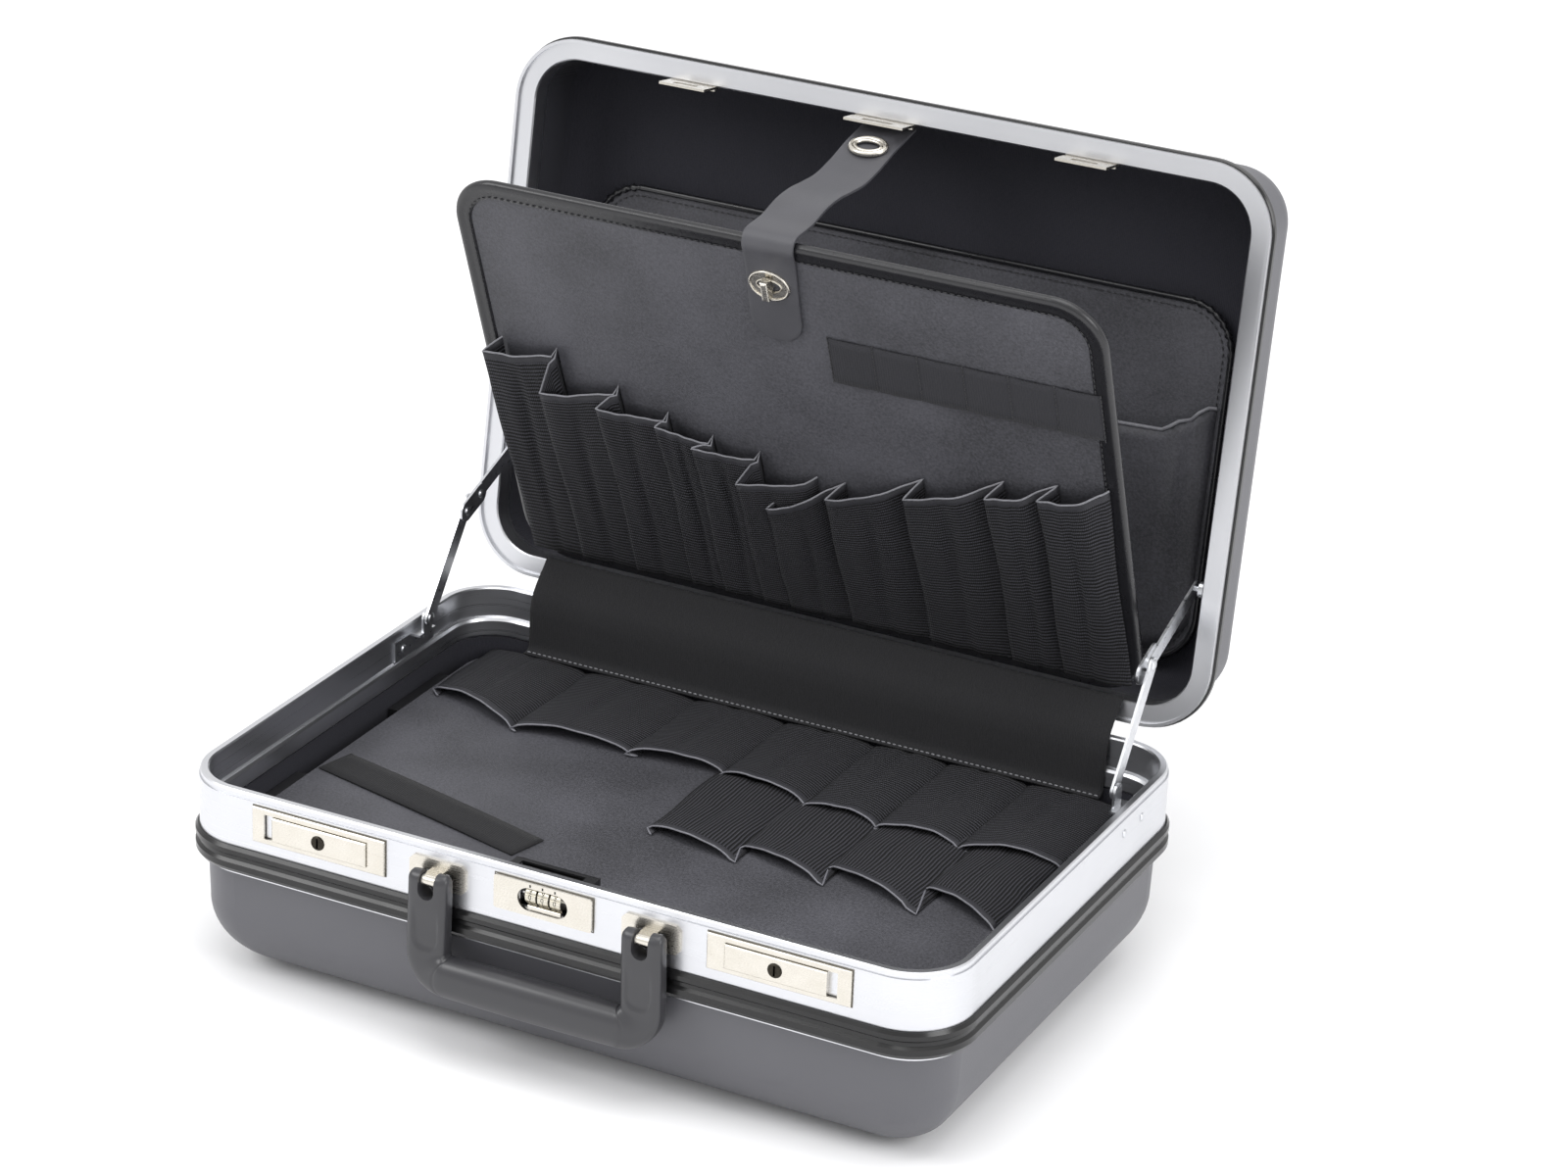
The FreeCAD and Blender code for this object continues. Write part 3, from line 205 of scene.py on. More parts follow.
def linked(name, data):
    """A new object in the scene."""
    made = bpy.data.objects.new(name, data)
    bpy.context.scene.collection.objects.link(made)
    return made


plates_low, plates_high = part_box("lock_plates")
dial_plate_low, dial_plate_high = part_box("combination_plate")
plate_length = 0.086
line_width = 0.0005
line_rise = 0.0003
band_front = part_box("tray_frame")[0].y
built = bmesh.new()
for x0, x1, z0, z1 in ((plates_low.x, plates_low.x + plate_length, plates_low.z, plates_high.z),
                       (plates_high.x - plate_length, plates_high.x, plates_low.z, plates_high.z),
                       (dial_plate_low.x, dial_plate_high.x, dial_plate_low.z, dial_plate_high.z)):
    inner = [(x0, z0), (x1, z0), (x1, z1), (x0, z1)]
    outer = [(x0 - line_width, z0 - line_width), (x1 + line_width, z0 - line_width),
             (x1 + line_width, z1 + line_width), (x0 - line_width, z1 + line_width)]
    line_front = band_front - line_rise
    loops = [[built.verts.new((x, y, z)) for x, z in corners] for y, corners in (
        (band_front, outer), (line_front, outer), (line_front, inner), (band_front, inner))]
    for first, second in zip(loops, loops[1:] + loops[:1]):
        for n in range(4):
            built.faces.new((first[n], first[(n + 1) % 4], second[(n + 1) % 4], second[n]))
bmesh.ops.recalc_face_normals(built, faces=built.faces)
line_mesh = bpy.data.meshes.new("plate_gap_painted_shadow_lines")
built.to_mesh(line_mesh)
built.free()
# these rings carry the painted shadow round the plates' edges
line_mesh.materials.append(plate_gap_shadow)
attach(linked("plate_gap_painted_shadow_lines", line_mesh), "tray")

# ================================================================ combination lock
# Three fluted metal dials behind a pill-shaped window, in a black moulded housing inside the rim.
# Plain numerals are stamped round each dial and filled with black paint.
housing = mottled("nylon_housing_black", {"Base Color": linear("#161618"), "Roughness": 0.45, "IOR": 1.53},
                  1500.0, 2.0, relief=(0.15, 0.0001))
dress(housing, "combination_case", "pallet_ledges")

dial_metal = mottled("zinc_cast_chromed", {"Base Color": linear("#d8d3c6"), "Metallic": 1.0, "Roughness": 0.3},
                     900.0, 3.0, tone=("#aaa491", "#eae6dc"))
dress(dial_metal, "combination_dial_1", "combination_dial_2", "combination_dial_3")

paint = mottled("enamel_fill_black", {"Base Color": linear("#0d0d0e"), "Roughness": 0.5}, 2500.0, 2.0,
                rough=(0.42, 0.6))


def settled(piece):
    """Make an object's modifiers or curve its plain mesh, in an object at the origin."""
    bpy.context.view_layer.update()
    mesh = bpy.data.meshes.new_from_object(piece.evaluated_get(bpy.context.evaluated_depsgraph_get()))
    mesh.transform(piece.matrix_world)
    name = piece.name
    bpy.data.objects.remove(piece)
    return linked(name, mesh)


def joined(name, pieces):
    """One object from several settled ones."""
    for other in pieces:
        other.select_set(False)
    with bpy.context.temp_override(active_object=pieces[0], selected_editable_objects=pieces,
                                   selected_objects=pieces):
        bpy.ops.object.join()
    pieces[0].name = name
    return pieces[0]


numeral_size = 0.0042
numeral_sink = 0.00005
for index in (1, 2, 3):
    axle = Vector(joints["dial_turn_%d" % index]["pos_m"])
    low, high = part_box("combination_dial_%d" % index)
    radius = (high.z - low.z) / 2
    numerals = []
    for value in range(10):
        text = bpy.data.curves.new("numeral", "FONT")
        text.body = str(value)
        text.size = numeral_size
        text.align_x = "CENTER"
        text.align_y = "CENTER"
        text.extrude = numeral_sink
        text.resolution_u = 3
        stamp = settled(linked("numeral", text))
        sliced = bmesh.new()
        sliced.from_mesh(stamp.data)
        bmesh.ops.remove_doubles(sliced, verts=sliced.verts, dist=1e-7)
        for level in range(-4, 5):
            bmesh.ops.bisect_plane(sliced, geom=sliced.verts[:] + sliced.edges[:] + sliced.faces[:],
                                   plane_co=(0, level * 0.0004, 0), plane_no=(0, 1, 0))
        for vertex in sliced.verts:
            turn = vertex.co.y / radius + math.radians(-36 * value)
            reach = radius + vertex.co.z
            vertex.co = axle + Vector((vertex.co.x, -reach * math.cos(turn), reach * math.sin(turn)))
        sliced.to_mesh(stamp.data)
        sliced.free()
        numerals.append(stamp)
    ring = joined("dial_numerals_%d" % index, numerals)
    ring.data.materials.clear()
    ring.data.materials.append(paint)
    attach(ring, "dial_%d" % index)

# a short engraved index line over each dial
marks = []
plate_low, plate_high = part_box("combination_plate")
for index in (1, 2, 3):
    axle = Vector(joints["dial_turn_%d" % index]["pos_m"])
    mesh = bpy.data.meshes.new("index_line")
    x0, x1 = axle.x - 0.0005, axle.x + 0.0005
    z1 = plate_high.z - 0.0009
    z0 = z1 - 0.0016
    y = plate_low.y - 0.00003
    mesh.from_pydata([(x0, y, z0), (x1, y, z0), (x1, y, z1), (x0, y, z1)], [], [(0, 1, 2, 3)])
    marks.append(linked("index_line", mesh))
index_lines = joined("dial_index_lines", marks)
index_lines.data.materials.append(paint)
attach(index_lines, "tray")

# ================================================================ handle
# Two die-cast arms, satin black, joined by a moulded black grip over a steel core.
# Each arm has softly rounded edges and a shallow thumb recess down its face.
satin, tree, surface, place = new_finish("handle_satin_black", {
    "Base Color": linear("#343437"), "Roughness": 0.3, "IOR": 1.5})
pebble = add_node(tree, "ShaderNodeTexNoise", {
    "Vector": place.outputs["Object"], "Scale": 900.0, "Detail": 3.0})
rub = add_node(tree, "ShaderNodeTexNoise", {"Vector": place.outputs["Object"], "Scale": 40.0, "Detail": 3.0})
drive(tree, surface, rough=(rub.outputs[0], 0.24, 0.36), relief=(pebble.outputs[0], 0.1, 0.0001))


def grid_piece(name, grid, material, uv=None, wrap_rows=False, wrap_columns=False):
    """A smooth surface through a grid of points; each wrap closes the grid that way."""
    rows, columns = len(grid), len(grid[0])
    mesh = bpy.data.meshes.new(name)
    faces = []
    corners = []
    for r in range(rows if wrap_rows else rows - 1):
        for c in range(columns if wrap_columns else columns - 1):
            r2, c2 = (r + 1) % rows, (c + 1) % columns
            faces.append((r * columns + c, r * columns + c2, r2 * columns + c2, r2 * columns + c))
            corners.append(((r, c), (r, c + 1), (r + 1, c + 1), (r + 1, c)))
    mesh.from_pydata([tuple(p) for row in grid for p in row], [], faces)
    if uv:
        layer = mesh.uv_layers.new(name="UVMap")
        flat = [uv(r, c) for face in corners for r, c in face]
        layer.data.foreach_set("uv", [v for pair in flat for v in pair])
    mesh.polygons.foreach_set("use_smooth", [True] * len(mesh.polygons))
    mesh.materials.append(material)
    return linked(name, mesh)


swing = Vector(joints["handle_swing"]["pos_m"])
arm_low, arm_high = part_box("handle_arms")
arm_half_width = 0.0124
arm_half_depth = 0.0055
arm_x = arm_high.x - 0.01375
grip_half_height = 0.0121
grip_half_depth = 0.0093
grip_z = arm_low.z + 0.01225
grip_y = swing.y - 0.0019
elbow_radius = 0.0135
arm_squareness, grip_squareness = 4.2, 2.3
crown_taper = 0.0022
shank_growth = 0.0006
shank_lean = 0.0003


def eased(share):
    """Smooth step from 0 to 1."""
    share = min(max(share, 0.0), 1.0)
    return share * share * (3 - 2 * share)


# stations down one arm, round its elbow and along to the grip's middle:
# (x, z, direction, half width, half depth, squareness, y)
stations = []
crown_steps = 9
for step in range(crown_steps):
    rise = math.sin(math.pi / 2 * (1 - step / crown_steps))
    z = swing.z + arm_half_depth * rise
    cut = math.sqrt(max(1 - rise ** 2, 0.0025))
    stations.append((arm_x, z, -90.0, arm_half_width - crown_taper * rise ** 3, arm_half_depth * cut,
                     arm_squareness, swing.y))
shank_foot = grip_z + elbow_radius
shank_steps = 44
for step in range(shank_steps + 1):
    share = step / shank_steps
    z = swing.z + (shank_foot - swing.z) * share
    stations.append((arm_x + shank_growth * eased(share), z, -90.0, arm_half_width,
                     arm_half_depth + shank_growth * share, arm_squareness, swing.y - shank_lean * share))
shank_half_depth = arm_half_depth + shank_growth
shank_y = swing.y - shank_lean
run_x = arm_x + shank_growth - elbow_radius
elbow_steps = 26
for step in range(1, elbow_steps + 1):
    share = step / elbow_steps
    angle = math.radians(90 * share)
    mixed = eased(share)
    stations.append((run_x + elbow_radius * math.cos(angle), shank_foot - elbow_radius * math.sin(angle),
                     -90.0 - 90 * share, arm_half_width + (grip_half_height - arm_half_width) * mixed,
                     shank_half_depth + (grip_half_depth - shank_half_depth) * mixed,
                     arm_squareness + (grip_squareness - arm_squareness) * mixed,
                     shank_y + (grip_y - shank_y) * mixed))
grip_swell = 0.0005
seam_fine_from = 0.046
x = run_x
while x > 0:
    x -= 0.0003 if x > seam_fine_from else 0.003
    x = max(x, 0.0)
    swell = grip_swell * math.cos(math.pi * x / 2 / run_x)
    stations.append((x, grip_z, -180.0, grip_half_height + swell, grip_half_depth + swell, grip_squareness,
                     grip_y))
section_points = 72
rings = []
for side in (1, -1):
    for x, z, heading, half_width, half_depth, square, y in (stations if side == 1 else stations[-2::-1]):
        turn = math.radians(heading)
        across = Vector((-math.sin(turn), 0, math.cos(turn)))
        ring = []
        for point in range(section_points):
            angle = 2 * math.pi * point / section_points
            cosine, sine = math.cos(angle), math.sin(angle)
            wide = half_width * math.copysign(abs(cosine) ** (2 / square), cosine)
            deep = half_depth * math.copysign(abs(sine) ** (2 / square), sine)
            spot = Vector((x, y - deep, z)) + across * wide
            spot.x *= side
            ring.append(spot)
        rings.append(ring)
handle = grid_piece("handle_moulded", rings, satin, wrap_columns=True)
shaped = bmesh.new()
shaped.from_mesh(handle.data)
bmesh.ops.holes_fill(shaped, edges=[e for e in shaped.edges if e.is_boundary])
bmesh.ops.recalc_face_normals(shaped, faces=shaped.faces)

# the thumb recess down each arm's face, and the parting groove where the grip's sleeve meets the elbows
recess_foot = swing.z - 0.0410
recess_half = 0.0084
recess_depth = 0.0013
recess_wall = 0.0016
seam_reach = 0.0592
seam_curve = 0.0062
groove_depth = 0.0005
groove_half = 0.0006
for vertex in shaped.verts:
    x, y, z = vertex.co
    beside = abs(abs(x) - arm_x)
    if y < swing.y - 0.002 and z > recess_foot - 0.001 and z < swing.z - 0.006:
        floor_rise = z - recess_foot - recess_half
        edge = recess_half - (beside if floor_rise > 0 else math.hypot(beside, floor_rise))
        fade = 1 - eased((z - (swing.z - 0.030)) / 0.018)
        vertex.co.y += recess_depth * eased(edge / recess_wall) * fade
    if z < grip_z + grip_half_height + 0.001:
        height = (z - grip_z) / grip_half_height
        seam_x = seam_reach - seam_curve * min(abs(height), 1.0) ** 2.2
        off = abs(abs(x) - seam_x) / groove_half
        if off < 1:
            inward = Vector((0, grip_y - y, grip_z - z)).normalized()
            vertex.co += inward * groove_depth * (1 - off * off)
shaped.to_mesh(handle.data)
shaped.free()

# the open slot at the top of each arm, where the bracket's tongue stands
slot_half = 0.005
slot_foot = swing.z - 0.0095
cut_reach = 0.02
for side in (1, -1):
    cutter_mesh = bpy.data.meshes.new("slot_cutter")
    outline = [(-slot_half, cut_reach), (-slot_half, slot_half)]
    outline += [(-slot_half * math.cos(math.radians(a)), slot_half - slot_half * math.sin(math.radians(a)))
                for a in range(10, 180, 10)]
    outline += [(slot_half, slot_half), (slot_half, cut_reach)]
    front = [(side * arm_x + px, swing.y - cut_reach, slot_foot + pz) for px, pz in outline]
    behind = [(px, swing.y + cut_reach, pz) for px, _, pz in front]
    count = len(outline)
    ends = [tuple(range(count)), tuple(range(2 * count - 1, count - 1, -1))]
    walls = [(n, count + n, count + (n + 1) % count, (n + 1) % count) for n in range(count)]
    cutter_mesh.from_pydata(front + behind, [], ends + walls)
    cutter = linked("slot_cutter", cutter_mesh)
    turned_out = bmesh.new()
    turned_out.from_mesh(cutter_mesh)
    bmesh.ops.recalc_face_normals(turned_out, faces=turned_out.faces)
    turned_out.to_mesh(cutter_mesh)
    turned_out.free()
    slot = handle.modifiers.new("slot", "BOOLEAN")
    slot.operation = "DIFFERENCE"
    slot.object = cutter
    slot.solver = "EXACT"
    handle = settled(handle)
    bpy.data.objects.remove(cutter)
handle.data.materials.clear()
handle.data.materials.append(satin)
handle.data.set_sharp_from_angle(angle=math.radians(50))
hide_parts("handle_arms", "handle_grip")
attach(handle, "handle")

# ================================================================ lining cloth
# Black ribbed cloth glued to the inside of both shells; the same cloth makes the flap over the hinges.
# Its ribs are 1.1 mm apart and stand about 0.2 mm proud.
def ribbed_cloth(name, dark, light, rib, across):
    """Woven ribbed cloth; 'across' picks the object axis that the ribs repeat along."""
    material, tree, surface, place = new_finish(name, {
        "Base Color": linear(dark), "Roughness": 0.85, "Specular IOR Level": 0.15, "Sheen Weight": 0.05,
        "Sheen Roughness": 0.5})
    split = add_node(tree, "ShaderNodeSeparateXYZ", {0: place.outputs["Object"]})
    wave = add_node(tree, "ShaderNodeMath", {0: split.outputs[across], 1: 2 * math.pi / rib},
                    operation="MULTIPLY")
    ribs = add_node(tree, "ShaderNodeMath", {0: wave.outputs[0]}, operation="SINE")
    threads = add_node(tree, "ShaderNodeTexNoise", {"Vector": place.outputs["Object"], "Scale": 1400.0,
                                                   "Detail": 2.0})
    sum_up = add_node(tree, "ShaderNodeMath", {0: ribs.outputs[0], 1: threads.outputs[0]}, operation="ADD")
    drive(tree, surface, (threads.outputs[0], dark, light), relief=(sum_up.outputs[0], 0.35, 0.0002))
    return material


dress(ribbed_cloth("lining_cloth_ribbed", "#26262b", "#36363d", 0.0011, 0), "tray_lining", "lid_lining")

# ================================================================ pallet, tool board and document panel
# Fibreboards wrapped in black leathercloth: a fine pebble grain with a dull, slightly speckled skin.
leathercloth, tree, surface, place = new_finish("leathercloth_black_pebbled", {
    "Base Color": linear("#404045"), "Roughness": 0.6, "IOR": 1.5})
pebbles = add_node(tree, "ShaderNodeTexVoronoi", {"Vector": place.outputs["Object"], "Scale": 1 / 0.0011})
fleck = add_node(tree, "ShaderNodeTexNoise", {
    "Vector": place.outputs["Object"], "Scale": 1 / 0.0016, "Detail": 3.0})
wide = add_node(tree, "ShaderNodeTexNoise", {"Vector": place.outputs["Object"], "Scale": 14.0, "Detail": 2.0})
mixed = add_node(tree, "ShaderNodeMath", {0: fleck.outputs[0], 1: wide.outputs[0]}, operation="ADD")
amount = add_node(tree, "ShaderNodeMapRange", {0: mixed.outputs[0], 1: 0.7, 2: 1.3})
drive(tree, surface, (amount.outputs[0], "#333337", "#505056"), (fleck.outputs[0], 0.5, 0.72),
      (pebbles.outputs["Distance"], 0.4, 0.0003))
dress(leathercloth, "pallet", "tool_board", "document_panel")

# ================================================================ tool board's piping and binding
# A glossy vinyl cord is sewn round the board's edge under a flat binding, with one row of stitches inside it.
vinyl = mottled("vinyl_gloss_black", {"Base Color": linear("#1b1b1e"), "Roughness": 0.26, "IOR": 1.52},
                260.0, 4.0, rough=(0.22, 0.36), relief=(0.22, 0.0004))
dress(vinyl, "board_piping")
thread = mottled("polyester_thread_black", {
    "Base Color": linear("#17171a"), "Roughness": 0.55, "Sheen Weight": 0.2}, 3000.0, 2.0,
                 tone=("#101012", "#2a2a2e"))

board_foot = Vector(joints["board_tilt"]["pos_m"])
board_out = Vector(joints["turn_lock_turn"]["axis"]).normalized()
board_up = board_out.cross(Vector((1, 0, 0))).normalized()
if board_up.z < 0:
    board_up.negate()
cord_radius = 0.003
board_half_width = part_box("board_piping")[1].x - cord_radius
board_low = cord_radius
board_high = cord_radius + 0.286
board_corner = 0.028


def on_board(x, height, out):
    """Point on the tool board: across, up from its foot, and out from its front face."""
    return Vector((x, 0, 0)) + board_foot + board_up * height + board_out * out


def rounded_outline(x0, x1, y0, y1, radius, corner_steps=10, gap=0.008):
    """Points round a rounded rectangle, counter-clockwise, each with the direction that points outwards."""
    found = []
    for cx, cy, start in ((x1 - radius, y0 + radius, -90), (x1 - radius, y1 - radius, 0),
                          (x0 + radius, y1 - radius, 90), (x0 + radius, y0 + radius, 180)):
        for step in range(corner_steps + 1):
            angle = math.radians(start + 90 * step / corner_steps)
            found.append((cx + radius * math.cos(angle), cy + radius * math.sin(angle),
                          math.cos(angle), math.sin(angle)))
    full = []
    for here, after in zip(found, found[1:] + found[:1]):
        full.append(here)
        length = math.hypot(after[0] - here[0], after[1] - here[1])
        extra = int(length / gap) if length > 2 * gap else 0
        for step in range(1, extra + 1):
            share = step / (extra + 1)
            full.append(tuple(a + (b - a) * share for a, b in zip(here, after)))
    return full


# the binding's section, as (outwards from the edge, out from the face)
binding_section = [(0.0020, 0.0002), (0.0008, 0.0009), (-0.0006, 0.0010), (-0.0022, 0.0006), (-0.0050, 0.0005),
                   (-0.0076, 0.0005), (-0.0083, -0.0002)]
outline = rounded_outline(-board_half_width, board_half_width, board_low, board_high, board_corner)
rings = [[on_board(x + nx * inset, h + ny * inset, out) for x, h, nx, ny in outline]
         for inset, out in binding_section]
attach(grid_piece("board_binding", rings, vinyl, wrap_columns=True), "board")

# stitches: one run of short thread loops set along a seam
stitch_tree = bpy.data.node_groups.new("stitch_run", "GeometryNodeTree")
for label, kind, in_out in (("Geometry", "Geometry", "INPUT"), ("Spacing", "Float", "INPUT"),
                            ("Length", "Float", "INPUT"), ("Thickness", "Float", "INPUT"),
                            ("Thread", "Material", "INPUT"), ("Geometry", "Geometry", "OUTPUT")):
    stitch_tree.interface.new_socket(label, in_out=in_out, socket_type="NodeSocket" + kind)
given = add_node(stitch_tree, "NodeGroupInput")
seam = add_node(stitch_tree, "GeometryNodeMeshToCurve", {"Mesh": given.outputs["Geometry"]})
spaced = add_node(stitch_tree, "GeometryNodeResampleCurve", {
    "Curve": seam.outputs[0], "Length": given.outputs["Spacing"]}, mode="LENGTH")
thread_loop = add_node(stitch_tree, "GeometryNodeMeshUVSphere", {"Segments": 6, "Rings": 4, "Radius": 0.5})
shape = add_node(stitch_tree, "ShaderNodeCombineXYZ", {
    0: given.outputs["Thickness"], 1: given.outputs["Thickness"], 2: given.outputs["Length"]})
along = add_node(stitch_tree, "GeometryNodeInputTangent")
turned = add_node(stitch_tree, "FunctionNodeAlignRotationToVector", {"Vector": along.outputs[0]}, axis="Z")
sewn = add_node(stitch_tree, "GeometryNodeInstanceOnPoints", {
    "Points": spaced.outputs[0], "Instance": thread_loop.outputs[0], "Rotation": turned.outputs[0],
    "Scale": shape.outputs[0]})
real = add_node(stitch_tree, "GeometryNodeRealizeInstances", {0: sewn.outputs[0]})
threaded = add_node(stitch_tree, "GeometryNodeSetMaterial", {
    "Geometry": real.outputs[0], "Material": given.outputs["Thread"]})
add_node(stitch_tree, "NodeGroupOutput", {0: threaded.outputs[0]})


def sew(name, seams, body, spacing=0.0042, length=0.003, thickness=0.0008, colour=None):
    """Stitches along open or closed seams, each a list of points; they ride on a body."""
    points, edges = [], []
    for run, closed in seams:
        first = len(points)
        points += [tuple(p) for p in run]
        edges += [(first + i, first + i + 1) for i in range(len(run) - 1)]
        if closed:
            edges.append((first + len(run) - 1, first))
    mesh = bpy.data.meshes.new(name)
    mesh.from_pydata(points, edges, [])
    piece = linked(name, mesh)
    modifier = piece.modifiers.new("stitches", "NODES")
    modifier.node_group = stitch_tree
    values = {"Spacing": spacing, "Length": length, "Thickness": thickness, "Thread": colour or thread}
    for item in stitch_tree.interface.items_tree:
        if item.in_out == "INPUT" and item.name in values:
            modifier[item.identifier] = values[item.name]
    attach(settled(piece), body)


stitch_inset = 0.0066
sew("board_stitches", [([on_board(x - nx * stitch_inset, h - ny * stitch_inset, 0.0009)
                         for x, h, nx, ny in outline], True)], "board")

# ================================================================ pockets on the tool board
# Two rows of pockets in ribbed net cloth. Each pocket is pleated at its left, sewn down at its right and foot,
# and bound along its mouth with a thin vinyl tape.
net_cloth, tree, surface, place = new_finish("net_cloth_ribbed_black", {
    "Base Color": linear("#1d1d20"), "Roughness": 0.7, "Specular IOR Level": 0.2, "Sheen Weight": 0.04,
    "Sheen Roughness": 0.4})
# ribs 2.3 mm apart up the cloth and thread pairs 1.2 mm apart across it; their colour carries painted highlight on
# the crests and painted shade in the grooves
split = add_node(tree, "ShaderNodeSeparateXYZ", {0: place.outputs["UV"]})
wobble = add_node(tree, "ShaderNodeTexNoise", {"Vector": place.outputs["UV"], "Scale": 60.0, "Detail": 2.0})
drift = add_node(tree, "ShaderNodeMath", {0: wobble.outputs[0], 1: 0.0016}, operation="MULTIPLY")
lifted = add_node(tree, "ShaderNodeMath", {0: split.outputs[1], 1: drift.outputs[0]}, operation="ADD")
up_ribs = add_node(tree, "ShaderNodeMath", {0: lifted.outputs[0], 1: 2 * math.pi / 0.0023},
                   operation="MULTIPLY")
rib_wave = add_node(tree, "ShaderNodeMath", {0: up_ribs.outputs[0]}, operation="SINE")
cross_lines = add_node(tree, "ShaderNodeMath", {0: split.outputs[0], 1: 2 * math.pi / 0.0012},
                       operation="MULTIPLY")
cross_wave = add_node(tree, "ShaderNodeMath", {0: cross_lines.outputs[0]}, operation="SINE")
crossing = add_node(tree, "ShaderNodeMath", {0: cross_wave.outputs[0], 1: 0.45}, operation="MULTIPLY")
weave = add_node(tree, "ShaderNodeMath", {0: rib_wave.outputs[0], 1: crossing.outputs[0]}, operation="ADD")
# painted highlight and shade: the colour follows the weave's relief, light on the rib crests and dark between them
rib_painted_light = add_node(tree, "ShaderNodeMapRange", {0: weave.outputs[0], 1: -0.2, 2: 1.5})
drive(tree, surface, (rib_painted_light.outputs[0], "#0b0b0c", "#4a4a51"), relief=(weave.outputs[0], 0.7, 0.0004))

# the tape's light grey is painted highlight along the pocket mouths
tape = mottled("vinyl_tape_painted_highlight_grey", {"Base Color": linear("#707076"), "Roughness": 0.4}, 500.0, 3.0,
               tone=("#5c5c61", "#86868c"))


def tube(name, runs, radius, material, body):
    """A thin bound edge that follows open runs of points."""
    curve = bpy.data.curves.new(name, "CURVE")
    curve.dimensions = "3D"
    curve.bevel_depth = radius
    curve.bevel_resolution = 2
    curve.use_fill_caps = True
    for run in runs:
        spline = curve.splines.new("POLY")
        spline.points.add(len(run) - 1)
        for point, place_at in zip(spline.points, run):
            point.co = (*place_at, 1.0)
    curve.materials.append(material)
    piece = settled(linked(name, curve))
    piece.data.polygons.foreach_set("use_smooth", [True] * len(piece.data.polygons))
    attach(piece, body)
    return piece


def thickened(piece, thickness):
    """Give a cloth surface its thickness, evenly to both sides."""
    solid = piece.modifiers.new("thickness", "SOLIDIFY")
    solid.thickness = thickness
    solid.offset = 0.0
    solid.use_even_offset = False
    return settled(piece)


hem_cloth = mottled("net_cloth_hem_black", {
    "Base Color": linear("#2a2a2e"), "Roughness": 0.6, "Specular IOR Level": 0.3}, 1100.0, 3.0,
                    tone=("#1f1f22", "#37373c"))


millimetre = 0.001
pocket_rows = 20
front_steps = 18
hem_height = 0.005
edge_radius = 0.0006


